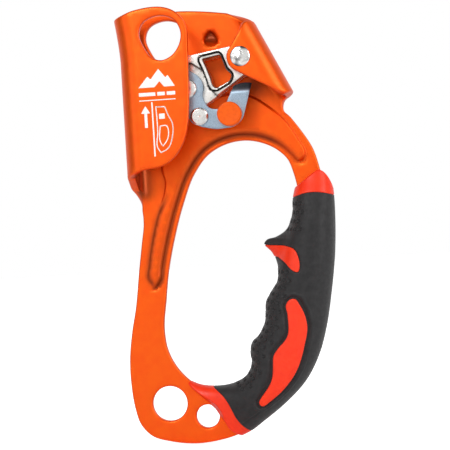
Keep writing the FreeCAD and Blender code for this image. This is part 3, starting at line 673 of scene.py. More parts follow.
# %% Emboss and dimple
emboss = curve_through(
    [(-3.9, 50.8), (-6.7, 53.6), (-6.1, 61), (-4.1, 70.9), (-0.4, 83), (3.3, 90.5), (4.1, 95),
     (3, 101), (5, 108), (12, 118), (22, 127), (33, 131), (43, 129.5), (50, 124.8),
     (56.5, 118.7), (61.5, 111), (64.4, 103), (62.2, 101.3), (59.5, 104), (55, 108.6),
     (48.7, 112.2), (40.1, 114.2), (29.9, 113.1), (21.1, 108.6), (13.9, 99.9), (7.8, 86.4),
     (3, 71.8), (-0.3, 58.5), (-1.3, 53.4)], 0.7, True)
dimple = curve_through([(27, 159), (29.5, 156.6), (29.9, 153.6), (27.2, 152.4), (24.4, 153.8),
                        (24.7, 156.8)], 0.5, True)
EMBOSS_HEIGHT, EMBOSS_SLOPE, DIMPLE_DEPTH = 1.5, 0.8, 2.8


def beside(loop, *gaps):
    """Copies of a loop shifted inwards by each gap, for triangles to follow."""
    loop = turned_way(loop, True)
    return [loop + inward(loop) * gap for gap in gaps]


def emboss_zones(places):
    """Depth inside the emboss, nearness to the hand's opening, and the outer side of the
    long rib, whose slope is as wide as half the rib."""
    depth = edge_distance(places, [emboss])
    from_loop = -edge_distance(places, [handle_opening])
    beside_loop = ease((8.5 - from_loop) / 2.5)
    on_rib = ease((92 - places[:, 1]) / 8) * (places[:, 0] < 12) * ease((from_loop - 5) / 1.6)
    return depth, beside_loop, on_rib


def front_relief(places):
    """Height of the front face: the emboss rises over a slope that is wider beside the
    hand's opening, and the dimple's floor comes up like a ramp at its lower end."""
    depth, beside_loop, on_rib = emboss_zones(places)
    narrow = ease(depth / (EMBOSS_SLOPE + 1.7 * beside_loop) + 0.5)
    raised = EMBOSS_HEIGHT * (narrow + on_rib * (ease(depth / 3.2) - narrow))
    raised -= 0.5 * beside_loop * np.exp(-((depth + 1.3) / 0.6) ** 2)
    inside = ease(edge_distance(places, [dimple]) / 0.5 + 0.5)
    floor_slope = 0.3 + 0.7 * ease((places[:, 1] - 152.4) / 4)
    return raised - DIMPLE_DEPTH * inside * floor_slope


# %% [markdown]
# Rolling a sheet round a bend moves each point by a simple rule. The outer face keeps its
# length, so a point's length beyond the bend line says whether it lies on the first bend,
# the wall, the second bend or the returned leg.


# %% Fold the blank
def folded(beyond, below):
    """Section of a fold. beyond is the length past the bend line on the outer face, and
    below is the depth under that face. Returns the reach past the bend line, and Y."""
    radius = FOLD - below
    first, second = beyond / FOLD, (beyond - QUARTER - WALL) / FOLD
    stage = [beyond <= 0, beyond <= QUARTER, beyond <= QUARTER + WALL, beyond <= PATH]
    reach = np.select(stage, [beyond, radius * np.sin(first), radius,
                              radius * np.cos(second)], PATH - beyond)
    depth = np.select(stage, [OUTER_Y - below, OUTER_Y - FOLD + radius * np.cos(first),
                              OUTER_Y - FOLD - (beyond - QUARTER),
                              FLAP_Y + FOLD - radius * np.sin(second)], FLAP_Y + below)
    return reach, depth


def fold_blank(points):
    """Bends (across, up, depth) of the blank round both folds. Each fold fades out below
    its lower end, and the channel's mouth flares to the left near its top."""
    across, up, below = points.T
    flat_depth = OUTER_Y - below
    beyond = BEND - across
    reach, depth = folded(beyond, below)
    share = np.where(beyond > 0, ease((up - 82.5) / 9), 0)
    x = across + share * (BEND - reach - across)
    y = flat_depth + share * (depth - flat_depth)
    past = np.maximum(np.maximum(-beyond, beyond - PATH), 0)
    flare = -2.9 * np.clip((up - 147) / 25, 0, None) ** 1.4
    x = x + flare * np.exp(-(past / 7) ** 2)
    gap = np.stack([across, up], axis=1) - EAR_FOOT
    out, along = gap @ EAR_OUT, gap @ EAR_UP
    reach, depth = folded(out + FOLD, below)
    share = np.where(out > -FOLD, ease((along + 4) / 3), 0)
    shift = share * (reach - FOLD - out)
    y = y + share * (depth - flat_depth)
    return np.stack([x + shift * EAR_OUT[0], y, up + shift * EAR_OUT[1]], axis=1)


rows = [*beside(emboss, -1.2, -0.7, -0.35, 0, 0.35, 0.7, 1.2), *beside(dimple, -0.35, 0, 0.35)]
points, faces = plate_solid(blank, openings, THICK, edge=0.9, grid=1.3, rows=rows)
inner = points[:, 2] > THICK / 2
points[inner, 2] += front_relief(points[inner, :2])
body = make_piece("folded_frame", fold_blank(points), faces, alloy, "frame",
                  ["frame"])
EAR_SHADOW_SPOT = np.array([45.0, 134.5])          # centre of the painted shadow that the ear casts on the plate
PLATE_LOW, PLATE_HIGH = -3.8, 1.9            # Y of the back plate's front side


def frame_shade_paint(places):
    """Painted shade of each point, 0 to 1: the foot of the emboss, the dimple's pit, the ear's
    shadow on the plate, and the insides of the channel and of the ear's fold."""
    level, spots = places[:, 1], places[:, [0, 2]]
    on_plate = (level > PLATE_LOW) & (level < PLATE_HIGH)
    depth, beside_loop, on_rib = emboss_zones(spots)
    foot = 0.3 * np.clip(1 - np.abs(depth + 0.35) / 0.55, 0, 1)
    beside_loop = beside_loop * (1 - 0.6 * ease((spots[:, 0] - 50) / 8))
    loop_side = ease((depth + 1.4) / 0.3) * np.clip((1.8 - depth) / 3.0, 0, 1)
    foot += (loop_side - foot) * beside_loop
    foot += (0.75 * np.exp(-((depth - 1.2) / 1.3) ** 2) - foot) * on_rib
    pit = ease(edge_distance(spots, [dimple]) / 0.6 + 0.2) * ease((spots[:, 1] - 151.6) / 3.5)
    # Painted shadow of the ear: a soft round dark patch on the plate below it.
    ear_shadow_paint = 0.75 * np.exp(-((spots - EAR_SHADOW_SPOT) ** 2).sum(1) / 5.0 ** 2)
    foot = np.maximum(foot, ear_shadow_paint)
    x, z = spots.T
    in_channel = ease((1 - x) / 6.5) * ease((z - 86) / 5) * (x > -7.3) * (level < -1.9)
    out = (spots - EAR_FOOT) @ EAR_OUT
    in_ear_fold = ease((-3.9 - level) / 1.5) * (out < -3.6) * (out > -16)
    in_fold = np.maximum(0.8 * in_channel, 0.7 * in_ear_fold) * ease((level + 18.4) / 1.6)
    return np.maximum(on_plate * np.maximum(foot, 0.9 * pit), in_fold)


store_shade_paint(body, "painted_shade", frame_shade_paint(places_of(body)))

# %% [markdown]
# ## The print on the flap
# The flap carries a small white print. A plain arrow shows which way is up, a drawing shows
# a rope in a clamp, and a row of peaks stands where a maker would put a mark. Each is
# a very thin plate laid on the same fold, so it follows the sheet's surface.


# %% White print
def bar(left, low, right, high, soft=0.12):
    """Upright rectangle with slightly soft corners."""
    return outline((left, low), (right, low), (right, high), (left, high), (left, low),
                   soft=soft, step=0.25)


peaks = outline((-2.4, 134.8), (1.6, 139.4), (2.9, 138.1), (6.4, 142.4), (9.2, 138.6),
                (10.2, 139.6), (13, 134.8), (8.4, 134.8), (6.6, 137.2), (4.4, 134.8),
                (-2.4, 134.8), soft=0.15, step=0.3)
arrow = outline((-0.6, 118), (0.6, 118), (0.6, 124), (1.9, 124), (0, 127.2), (-1.9, 124),
                (-0.6, 124), (-0.6, 118), soft=0.12, step=0.25)
clamp_outer = outline((4.2, 126.8), (8.4, 126.6), [(9.6, 123), (11.2, 119.5), (11, 114),
                      (8.6, 108.6), (5.4, 107)], [(4, 109.5), (4.4, 116), (4.4, 121.5)],
                      (4.2, 126.8), soft=0.25, step=0.35)
clamp_inner = beside(clamp_outer, 0.45)[0]
handle_outer = outline((5.6, 118.6), [(8.6, 118.6), (9.4, 115.5), (8.4, 112), (6.4, 109.6)],
                       [(5.4, 111.5), (5.6, 118.6)], soft=0.25, step=0.35)
handle_inner = beside(handle_outer, 0.4)[0]
marks = [(peaks, ()), (bar(-2.4, 131.2, 4.6, 132.7), ()), (bar(5.4, 131.2, 8.6, 132.7), ()),
         (bar(9.4, 131.2, 13, 132.7), ()), (bar(-2.4, 129.2, 13, 129.6), ()), (arrow, ()),
         (clamp_outer, (clamp_inner,)), (handle_outer, (handle_inner,)),
         (bar(2.6, 105.8, 3.2, 128.6), ()), (bar(5.6, 121.4, 8.0, 123.6), ())]
PRINT_PROUD = 0.04
points, faces = [], []
for border, gaps in marks:
    spots, sides = plate_solid(border, gaps, 0.06, edge=0.01, grid=0.9, turns=1)
    faces += [side + sum(map(len, points)) for side in sides]
    places = np.stack([*flap(spots[:, 0], spots[:, 1]), spots[:, 2] - PRINT_PROUD], axis=1)
    points.append(fold_blank(places))
make_piece("flap_print", np.concatenate(points), faces, ink, "frame")


# %% [markdown]
# ## Turned parts
# Rivets, the stud, the tail washer and the thumb knob are round, so each is a profile turned
# about its own axis. A lathe leaves small radii at the corners, and the profile has them too.


# %% Lathe
def eased_profile(corners, radius=0.2, steps=4):
    """Open profile whose inner corners are replaced by small curves: a blend of the two
    sides with weights (1-t) squared, 2t(1-t) and t squared."""
    corners = np.array(corners, float)
    here, before, after = corners[1:-1], corners[:-2], corners[2:]
    to_before, to_after = before - here, after - here
    reach_b = np.hypot(*to_before.T)[:, None]
    reach_a = np.hypot(*to_after.T)[:, None]
    cut_b = here + to_before / reach_b * np.minimum(radius, 0.45 * reach_b)
    cut_a = here + to_after / reach_a * np.minimum(radius, 0.45 * reach_a)
    t = np.linspace(0, 1, steps + 1)[None, :, None]
    curve = (1 - t) ** 2 * cut_b[:, None] + 2 * t * (1 - t) * here[:, None] + t**2 * cut_a[:, None]
    return np.concatenate([corners[:1], curve.reshape(-1, 2), corners[-1:]])


def turned(centre, profile, around=72, wobble=None):
    """Body of revolution: each (radius, Y) of the profile is carried round the centre.
    wobble gives a change of Y from radius and angle, for a hammered face."""
    turn = np.linspace(0, AROUND, around, endpoint=False)[None]
    radius, depth = profile[:, :1], profile[:, 1:]
    depth = np.broadcast_to(depth, (len(profile), around))
    if wobble is not None:
        depth = depth + wobble(radius, turn)
    points = np.stack([centre[0] + radius * np.cos(turn), depth,
                       centre[1] + radius * np.sin(turn)], axis=-1)
    return points.reshape(-1, 3), [quads(len(profile), around)]


def turned_ring(centre, outer, inner, front, rear, radius=0.12):
    """Washer or bush: a small closed profile turned about the centre."""
    half = (front + rear) / 2
    corners = [(inner, half), (inner, front), (outer, front), (outer, rear), (inner, rear),
               (inner, half)]
    return turned(centre, eased_profile(corners, radius))


# %% Rivets, washers and knob
def peened(radius, turn):
    """Slightly uneven dome left by a peening tool: low waves that die out at the rim."""
    waves = np.cos(3 * turn + 4 * radius) + np.cos(5 * turn - 3 * radius)
    return 0.05 * waves * np.clip(radius / 2, 0, 1) * np.clip(4.0 - radius, 0, 1)


axle_low, axle_high = low_high("axle_rivet")
HEAD, SHANK, TAIL_STEP = 4.2, 3.0, 2.8
dome_turn = np.linspace(0, 1, 9)[:, None]
dome = np.concatenate([3.7 * dome_turn, axle_low[1] + 0.55 * dome_turn**2], axis=1)
axle_profile = np.concatenate([dome, eased_profile(
    [(3.9, axle_low[1] + 0.62), (HEAD, axle_low[1] + 0.9), (HEAD, FLAP_Y), (SHANK, FLAP_Y),
     (SHANK, TAIL_STEP), (HEAD, TAIL_STEP), (HEAD - 0.4, axle_high[1] - 0.1),
     (0, axle_high[1])], 0.15)])
points, faces = turned(axle, axle_profile, 96, peened)
make_piece("axle_rivet_turned", points, faces, peened_head_painted_reflections, "frame",
           ["axle_rivet"], 40)

low, high = low_high("axle_tail_washer")
points, faces = turned_ring(axle, (high[0] - low[0]) / 2, SHANK, low[1], high[1])
make_piece("tail_washer_turned", points, faces, rivet, "frame",
           ["axle_tail_washer"], 50)

low, high = low_high("thumb_knob")
KNOB = (high[0] - low[0]) / 2
points, faces = turned(knob, np.concatenate([
    [(0, low[1] + 0.12), (2.2, low[1] + 0.1), (3.6, low[1] + 0.02)],
    eased_profile([(4.0, low[1]), (KNOB - 0.35, low[1]), (KNOB, low[1] + 0.9),
                   (KNOB, high[1]), (0, high[1])], 0.35)]), 80)
make_piece("knob_turned", points, faces, button, "lever", ["thumb_knob"], 60)


def faceted(radius, turn):
    """Chamfer dressed with a file: small facets round the rim, none in the middle."""
    return 0.03 * np.cos(11 * turn) * np.clip(radius - 2.9, 0, 0.8) / 0.8


low, high = low_high("park_stud")
STUD = (high[0] - low[0]) / 2
points, faces = turned(stud, np.concatenate([
    [(0, low[1] + 0.3), (0.25, low[1] + 0.22), (0.5, low[1])],
    eased_profile([(0.8, low[1]), (STUD - 0.75, low[1]), (STUD, low[1] + 0.55),
                   (STUD, LEVER_FRONT), (2.0, LEVER_FRONT), (2.0, LEVER_REAR),
                   (3.0, LEVER_REAR), (3.0, high[1]), (0, high[1])], 0.12)]), 88, faceted)
make_piece("stud_turned", points, faces, rivet, "lever", ["park_stud"], 40)

low, high = low_high("lever_pivot_rivet")
PIVOT_HEAD, PIVOT_SHANK = 4.0, 2.2
points, faces = turned(pivot, np.concatenate([
    [(0, low[1] + 0.35), (0.9, low[1] + 0.3), (1.3, low[1])],
    eased_profile([(1.5, low[1]), (PIVOT_HEAD - 0.6, low[1]), (PIVOT_HEAD, low[1] + 0.6),
                   (PIVOT_HEAD, LEVER_FRONT - 0.1), (PIVOT_SHANK, LEVER_FRONT - 0.1),
                   (PIVOT_SHANK, high[1] - 1.2), (3.4, high[1] - 1.2), (3.4, high[1]),
                   (0, high[1])], 0.15)]), 80)
make_piece("pivot_rivet_turned", points, faces, rivet, "cam",
           ["lever_pivot_rivet"], 40)

# %% [markdown]
# ## The cam
# The cam is investment cast steel, polished and plated. Its window saves weight, and a
# raised rim round the window keeps it stiff. A shelf on its left is sunk to take the lever.
# It is one plate again, with its front face carved by distance from the window's edge and
# from the shelf's edge.

# %% Cam outline
CAM_THICK = CAM_REAR - CAM_FRONT
HUB, SHELF, WELL = 6.6, 3.3, 4.0
nose = [(0.4, 143.2), (-3.4, 134), (2.2, 124)]


def hub_point(degrees):
    """Point of the hub's rim at an angle about the axle."""
    turn = np.radians(degrees)
    return (axle[0] + HUB * np.cos(turn), axle[1] + HUB * np.sin(turn))


cam_edge = outline(
    (36.7, 150.3), (3, 145.1), ((1.4, 144.5), nose[0]), (nose[1], nose[2]),
    [(6.5, 121.6), (15, 123.4), (25.1, 126.9)], (30.2, 130.1), (41.4, 137.8),
    hub_point(-59), (hub_point(0), hub_point(100)), (36.7, 150.3), soft=0.35)
window = outline(
    (24.5, 145.7), [(26.2, 141.4), (27.5, 137.5), (28.8, 133.7), (30, 133.1)],
    (35.4, 135.8), [(36.5, 137.9), (34.4, 140.6), (33.2, 143.9), (32.1, 147)],
    (24.5, 145.7), soft=0.4)
RIM = 1.25                                  # from the opening to the groove round it
RIM_SHIFT = np.array([0.55, 0.0])           # the rim is wider on the rope's side
shelf_edge = outline((19.8, 144.3), [(24.6, 140.2), (26.4, 134.6), (28.7, 131.1)],
                     (31.5, 128.5), (31.5, 117), (9, 117), ((8, 133), (12, 144.6)),
                     (19.8, 144.3), soft=0.3)


def cam_relief(places):
    """Depth of the cam's front face: the shelf, a groove between the face and the rim of
    the window, and a slight fall of that rim towards the opening."""
    from_window = -edge_distance(places, [window])
    from_rim = -edge_distance(places + RIM_SHIFT, [window])
    sunk = SHELF * ease(edge_distance(places, [shelf_edge]) / 0.26 + 0.5)
    groove = 1.3 * np.clip(1 - ((from_rim - RIM) / 0.5) ** 2, 0, 1)
    fall = 0.3 * ease(1 - from_window / 0.6)
    return sunk, (groove + fall) * (from_window > 0.2) * (from_window < 3.4)


rows = [*(loop - RIM_SHIFT for loop in beside(window, -0.75, -1.0, -RIM, -1.5, -1.75, -2.1)),
        *beside(shelf_edge, -0.45, -0.13, 0.13, 0.45),
        ring(axle, 5.5), ring(axle, 5.7)]
points, faces = plate_solid(cam_edge, [window, ring(axle, 3.9), ring(pivot, PIVOT_SHANK)],
                            CAM_THICK, edge=0.45, grid=0.9, rows=rows)
is_front = points[:, 2] < CAM_THICK / 2
sunk, carved = cam_relief(points[is_front, :2])
flat = points[is_front, 2] < 1e-6
points[is_front, 2] += sunk + carved * flat
is_rear = points[:, 2] > CAM_THICK - 1e-6
from_axle = np.hypot(*(points[is_rear, :2] - axle).T)
points[is_rear, 2] -= WELL * ease((5.7 - from_axle) / 0.2)
cam = make_piece("cam_cast", face_front(points, CAM_FRONT), faces, chrome, "cam",
                 ["cam"], 38)
# Painted shade on the cam's front: dark in the groove round the window, along the window's edge
# and at the step of the shelf.
spots = places_of(cam)
near_front = ease((CAM_FRONT + SHELF + 2.5 - spots[:, 1]) / 1.5)
spots = spots[:, [0, 2]]
from_rim = -edge_distance(spots + RIM_SHIFT, [window])
in_groove = np.clip(1.25 - np.abs(from_rim - RIM) / 0.45, 0, 1)
in_groove = np.maximum(in_groove, 0.8 * np.clip(1.3 + edge_distance(spots, [window]) / 0.35, 0, 1))
at_step = np.clip(1.3 - np.abs(edge_distance(spots, [shelf_edge])) / 0.45, 0, 1)
store_shade_paint(cam, "painted_shade", near_front * np.maximum(in_groove, at_step))

# %% [markdown]
# The teeth are short spikes that lean down the rope, so they let the rope through on the
# way up and bite on the way down. Each is a cone whose radius shrinks along its length.

# %% Cam teeth
TEETH_DOWN, TEETH_ACROSS, TOOTH_STEPS, TOOTH_SIDES = 7, (-6.1, -7.7, -10.3, -11.9), 6, 14
arc = arc_through(*nose)
nose_start, nose_middle, nose_end = (complex(*arc[i]) for i in (0, 20, 39))
nose_centre = circle_centre(nose_start, nose_middle, nose_end)
nose_radius = abs(nose_start - nose_centre)
lean = np.radians(148 + 12 * np.arange(TEETH_DOWN))
outward = np.stack([np.cos(lean), np.zeros(TEETH_DOWN), np.sin(lean)], axis=1)
root = np.array([nose_centre.real, 0, nose_centre.imag]) + outward * (nose_radius - 0.6)
root = root[:, None] + np.array([0, 1, 0]) * np.array(TEETH_ACROSS)[None, :, None]
aim_way = outward - np.array([0, 0, 0.35])
aim_way /= np.linalg.norm(aim_way, axis=1)[:, None]
side_way = np.cross(aim_way, [0, 1, 0])
height = np.linspace(0, 1, TOOTH_STEPS)
girth = np.concatenate([[1e-6], 0.75 - 0.6 * height**0.9, [1e-6]])
height = 2.0 * np.concatenate([[0], height, [1.03]])
spin = np.linspace(0, AROUND, TOOTH_SIDES, endpoint=False)
circle = (np.cos(spin)[None, :, None] * side_way[:, None]
          + np.sin(spin)[None, :, None] * np.array([0, 1, 0]))
teeth = (root[:, :, None, None] + height[None, None, :, None, None] * aim_way[:, None, None, None]
         + girth[None, None, :, None, None] * circle[:, None, None])
one = quads(len(height), TOOTH_SIDES)
each = np.arange(TEETH_DOWN * len(TEETH_ACROSS))[:, None, None] * len(height) * TOOTH_SIDES
make_piece("cam_teeth_cast", teeth.reshape(-1, 3), [(one[None] + each).reshape(-1, 4)],
           chrome, "cam", (), 50)

# %% [markdown]
# ## The release lever
# The lever is stamped from thin stainless sheet and tumbled, which leaves a blue grey
# satin. A climber pulls its knob to park the cam open. It is a plate with a small edge.

# %% Lever
lever_edge = outline(
    (19.2, 141), [(22.7, 138.3), (24.2, 134.8), (23.7, 129.8), (24.6, 127.2), (26.6, 124.9),
                  (29.1, 124.3)], (31.5, 124.6), (33.9, 127.4), (37, 133.9),
    ((41, 134.9), (44.6, 134.6)), (43.6, 130.9), (40.6, 121), ((38.6, 118.2), (34.4, 116.3)),
    [(29, 116), (22.7, 117.2)], [(18.2, 119.6), (16.6, 124), (12.8, 127.8)],
    ((10.2, 133.6), (13.4, 139.6)), ((16.4, 141), (19.2, 141)), soft=0.3)
ARM_FROM = 31                               # the arm lies to the right of this
BEND_FROM, BEND_SLOPE = 131.2, 0.75         # the arm's end is set back under the ear
points, faces = plate_solid(lever_edge, [ring(pivot, PIVOT_SHANK + 0.05, 32)],
                            LEVER_REAR - LEVER_FRONT, edge=0.28, grid=1.1)
on_arm = ease((points[:, 0] - ARM_FROM) / 3)
points[:, 2] += BEND_SLOPE * on_arm * np.clip(points[:, 1] - BEND_FROM, 0, None)
arm = make_piece("lever_stamped", face_front(points, LEVER_FRONT), faces, satin, "lever",
                 ["lever_plate"])
# Painted shadow: the end of the arm, set back under the ear, fades to near black where the ear
# shades it.
spots = places_of(arm)
store_shade_paint(arm, "painted_shade", 0.85 * ease((spots[:, 0] - ARM_FROM) / 3)
          * ease((spots[:, 2] - BEND_FROM) / 1.4))

# %% [markdown]
# ## The grip
# The grip is two hard shells closed over the frame, with rubber moulded over them. Its
# form is a tube with a changing section, which suits a grid: one way runs down the handle
# and the other goes round it. Two outlines drawn from the side say how far each section
# reaches towards the fingers and towards the palm, and a superellipse rounds it between.

# %% Line and outlines of the grip
# Columns: across, up, half depth, and the heading from fingers to palm in degrees.
grip_line = curve_through(
    [(67.8, 101, 5, 8), (67.2, 93, 7.2, 6), (66.9, 86, 10, 0), (66.6, 78, 12, 0),
     (64.6, 66, 12.8, -4), (62.1, 54.7, 12.95, -4), (58.7, 42, 12.95, -12), (54.6, 29, 12.95, -22),
     (48.6, 16.5, 12.7, -33), (40.6, 5, 11.6, -43), (31, -1.4, 9.4, -51),
     (22, -3.6, 6.4, -54), (12.5, -5.5, 4.6, -60)], 0.25)
palm_edge = curve_through(
    [(72.5, 104), (74.6, 95), (75.7, 89), (75.9, 84), (75.8, 76), (74.5, 58), (72.5, 45),
     (69.3, 29.4), (66, 19), (59.5, 7.3), (50.4, -1.8), (40, -9.6), (34.8, -13.2),
     (29.6, -15.5), (20, -17.4), (8, -17.6)], 0.4)
below_hook = [(50, 55.4), (49.4, 50.2), (45.9, 45), (43.9, 41), (43.6, 37.2), (43, 33),
              (40, 27.5), (36.8, 24.2), (36.1, 20.3), (36.4, 16.4), (34.8, 11.9),
              (30.9, 8.6), (25.7, 7), (19.2, 6.7), (13.5, 7.6), (8.5, 10), (2, 16)]
above_hook = [(60.4, 101), (59.9, 92), (58.2, 85.3), (57.6, 78.8)]
body_edge = curve_through([*above_hook, (55.8, 72), (53.3, 66), (51.2, 60), *below_hook], 0.4)
hook_edge = curve_through([*above_hook, (54.3, 71.7), (49.8, 69), (45.9, 68), (44.8, 66.8),
                           (47.8, 62.6), (49.4, 59.3), *below_hook], 0.2)


def reach_to(line, start, heading):
    """Distance from each start along its heading to a drawn line: the smallest positive
    root of the crossing of a ray with each of the line's sides."""
    side = np.diff(line, axis=0)[None]
    gap = line[None, :-1] - start[:, None]
    way = heading[:, None]
    under = cross(way, side)
    under = np.where(np.abs(under) < 1e-9, 1e-9, under)
    far = cross(gap, side) / under
    share = cross(gap, way) / under
    far = np.where((share >= -1e-6) & (share <= 1 + 1e-6) & (far > 0), far, 99)
    return far.min(1)


centre, half_depth, heading = grip_line[:, :2], grip_line[:, 2], np.radians(grip_line[:, 3])
to_palm = np.stack([np.cos(heading), np.sin(heading)], axis=1)
sections = np.column_stack([
    centre, half_depth, heading, reach_to(palm_edge, centre, to_palm),
    reach_to(body_edge, centre, -to_palm), reach_to(hook_edge, centre, -to_palm)])
down = np.concatenate([[0], np.cumsum(np.hypot(*np.diff(centre, axis=0).T))])
sections = sections[(sections[:, 4:] < 40).all(1)]
down = down[:len(sections)]
print("grip is", round(down[-1], 1), "mm long,", len(sections), "sections")


# %% Surface of the grip
ROUNDNESS = 2 / 2.3            # exponent of the superellipse
HOOK_WIDTH = 4.3               # the hook narrows to a blade, as a bell curve of depth


def grip_surface(along, turn):
    """Point of the grip. Across the section it stands reach times |cos turn| to a power
    from the centre line, and in depth half the depth times |sin turn| to that power. The
    hook adds its extra reach times a bell curve of the depth."""
    x, z, depth, heading, palm, body, hook = (
        np.interp(along, down, column) for column in sections.T)
    cos, sin = np.cos(turn), np.sin(turn)
    y = -depth * np.sign(sin) * np.abs(sin) ** ROUNDNESS
    reach = np.where(cos > 0, palm, body) * np.sign(cos) * np.abs(cos) ** ROUNDNESS
    blade = np.exp(-(y / HOOK_WIDTH) ** 2) * ease(-cos * 2)
    reach = reach - (hook - body) * blade
    return np.stack([x + reach * np.cos(heading), y, z + reach * np.sin(heading)], axis=-1)


def grip_normal(along, turn):
    """Outward direction: the cross product of the two slopes of the surface."""
    step = 0.05
    one = grip_surface(along + step, turn) - grip_surface(along - step, turn)
    two = grip_surface(along, turn + step / 9) - grip_surface(along, turn - step / 9)
    normal = np.cross(two, one)
    return normal / np.maximum(np.linalg.norm(normal, axis=-1, keepdims=True), 1e-9)


def lay_on_grip(along, turn, lift):
    """Point of the grip moved out by lift along its outward direction."""
    return grip_surface(along, turn) + grip_normal(along, turn) * lift[..., None]


def find_on_grip(places):
    """Grip coordinates of points drawn from the side, on the front half. Starts from the
    nearest point of a coarse grid and takes Newton steps: the miss divided by the slopes."""
    along, turn = np.meshgrid(np.linspace(2, down[-1] - 2, 200), np.linspace(0.15, 3.0, 60))
    grid = grip_surface(along, turn)[..., [0, 2]].reshape(-1, 2)
    near = ((places[:, None] - grid[None]) ** 2).sum(2).argmin(1)
    along, turn = along.ravel()[near], turn.ravel()[near]
    small = 1e-3
    for _ in range(12):
        here = grip_surface(along, turn)[:, [0, 2]]
        by_along = (grip_surface(along + small, turn)[:, [0, 2]] - here) / small
        by_turn = (grip_surface(along, turn + small)[:, [0, 2]] - here) / small
        miss = places - here
        size = cross(by_along, by_turn)
        size = np.where(np.abs(size) < 1e-3, 1e-3, size)
        along = along + np.clip(cross(miss, by_turn) / size, -0.8, 0.8)
        turn = turn + np.clip(cross(by_along, miss) / size, -0.06, 0.06)
        turn = np.clip(turn, 0.02, np.pi - 0.02)
    return along, turn


def crossing(line):
    """For each turn, the length down the grip at which its surface crosses a drawn line:
    the first change of sign of the side on which the surface's points lie."""
    turn = np.linspace(0, AROUND, COLUMNS, endpoint=False)
    along = np.linspace(0.2, down[-1] - 0.2, 700)
    spots = grip_surface(*np.meshgrid(along, turn))[..., [0, 2]]
    flat = spots.reshape(-1, 2)
    side = np.diff(line, axis=0)
    gap = flat[:, None] - line[None, :-1]
    share = np.clip((gap * side).sum(2) / (side ** 2).sum(1), 0, 1)
    near = ((gap - share[..., None] * side) ** 2).sum(2).argmin(1)
    own, way = gap[np.arange(len(flat)), near], side[near]
    over = cross(way, own).reshape(len(turn), -1)
    over = over / np.hypot(*way.T).reshape(len(turn), -1)
    change = (over[:, :-1] > 0) & (over[:, 1:] <= 0)
    first = change.argmax(1)
    pick = np.arange(len(turn))
    part = over[pick, first] / (over[pick, first] - over[pick, first + 1])
    found = along[first] + part * (along[1] - along[0])
    # Rows meet at an even line, so the few turns that a line's end misses are smoothed over.
    wave = np.fft.fft(found)
    return np.fft.ifft(wave * np.exp(-(np.fft.fftfreq(len(found), 1 / len(found)) / 9) ** 2)).real


# %% Borders between the pieces of the grip
COLUMNS = 168
shell_top = crossing(curve_through([(50, 86), (60.2, 90.5), (65.5, 94), (70.6, 97),
                                    (73.4, 94.6), (75.1, 90.5), (77.5, 84)], 0.5))
rubber_top = crossing(curve_through([(52, 83), (57.8, 85.3), (66, 87.3), (75.8, 85.6),
                                     (80, 84)], 0.5))
rubber_end = crossing(curve_through([(17, 10), (19.2, 6.7), (23, 3.4), (26.4, -1.8),
                                     (28.3, -7), (31, -10.6), (34.8, -13.8), (38, -16)], 0.5))
shell_end = crossing(curve_through([(6, 13), (8.5, 10), (10.8, 5.4), (17, 1.6), (22, -3.6),
                                    (23.5, -9), (25, -12.2), (29.6, -15.5), (33, -18)], 0.5))
print("rubber covers", (rubber_end - rubber_top).mean().round(1), "mm of the handle")


# %% [markdown]
# A closed body between two borders starts and ends on an even row. Its last millimetre
# turns down like a quarter circle, so that two neighbours meet in a fine dark seam.


# %% Tube between two borders
def quarter_drop(gap, radius):
    """Fall of a surface near its end: radius less the height of a circle there."""
    inside = np.clip(1 - gap / radius, 0, 1)
    return radius * (1 - np.sqrt(1 - inside ** 2))


def tube_between(start, end, rows, start_radius, end_radius, shape=None):
    """Closed tube of the grip from one border to another. shape(along, turn) lifts its
    surface. The ends are closed over the centre line."""
    turn = np.linspace(0, AROUND, COLUMNS, endpoint=False)[None]
    share = np.linspace(0, 1, rows)
    share = (share - 0.06 * np.sin(AROUND * share) / np.pi)[:, None]
    along = start + share * (end - start)
    turn = np.broadcast_to(turn, along.shape)
    lift = (-quarter_drop(along - start, start_radius)
            - quarter_drop(end - along, end_radius))
    if shape is not None:
        lift = lift + shape(along, turn)
    body = lay_on_grip(along, turn, lift)
    first, last = body[:1], body[-1:]
    closing = np.array([0.55, 1.0])[:, None, None]
    first_end = first + (first.mean(1, keepdims=True) - first) * closing
    last_end = last + (last.mean(1, keepdims=True) - last) * closing
    points = np.concatenate([first_end[::-1], body, last_end])
    return points.reshape(-1, 3), [quads(len(points), COLUMNS)]


# %% Side panel and hook inlay drawn on the grip
GIRTH = 12.0                   # turns are measured as lengths at this radius
panel_line = outline(
    (57.6, 42.7), [(60.9, 36), (61.8, 31), (60.2, 23), (55.6, 11.2), (50.4, 4.7),
                   (41.3, -2.5)], ((39.4, -1.8), (39.4, 0.2)),
    [(45.2, 8.6), (46.5, 19)], [(48, 21.2), (53, 26.8), (53.7, 37.2)],
    ((55.2, 42.6), (57.6, 42.7)), soft=0.7, step=0.5)
along, turn = find_on_grip(panel_line)
panel = soften(even(np.stack([along, turn * GIRTH], 1), 0.5, True), 0.5)
hook_line = curve_through([(47.6, 65.5), (54.6, 64.9), (58, 63.4), (59.6, 60), (59.9, 55.6),
                           (59.2, 53.6), (57.4, 54.2), (53, 58.6), (50.2, 60.6)], 0.5)
along, turn = find_on_grip(hook_line)
half = np.stack([along, turn * GIRTH], axis=1)
mirrored = np.stack([along, (AROUND - turn) * GIRTH], axis=1)[::-1]
inlay = soften(even(np.concatenate([half, mirrored]), 0.5, True), 0.6)
print("panel spans", np.ptp(panel, axis=0).round(1), "inlay", np.ptp(inlay, axis=0).round(1))


# %% [markdown]
# The rubber carries the small relief that makes the grip recognisable: rows of dimples on
# the finger side, a groove round the panel with a fine ridge outside it, and the mould
# line that runs from the panel to the lower shell. All of it is a lift along the surface's
# own direction, a sum of a few bell and step shapes.

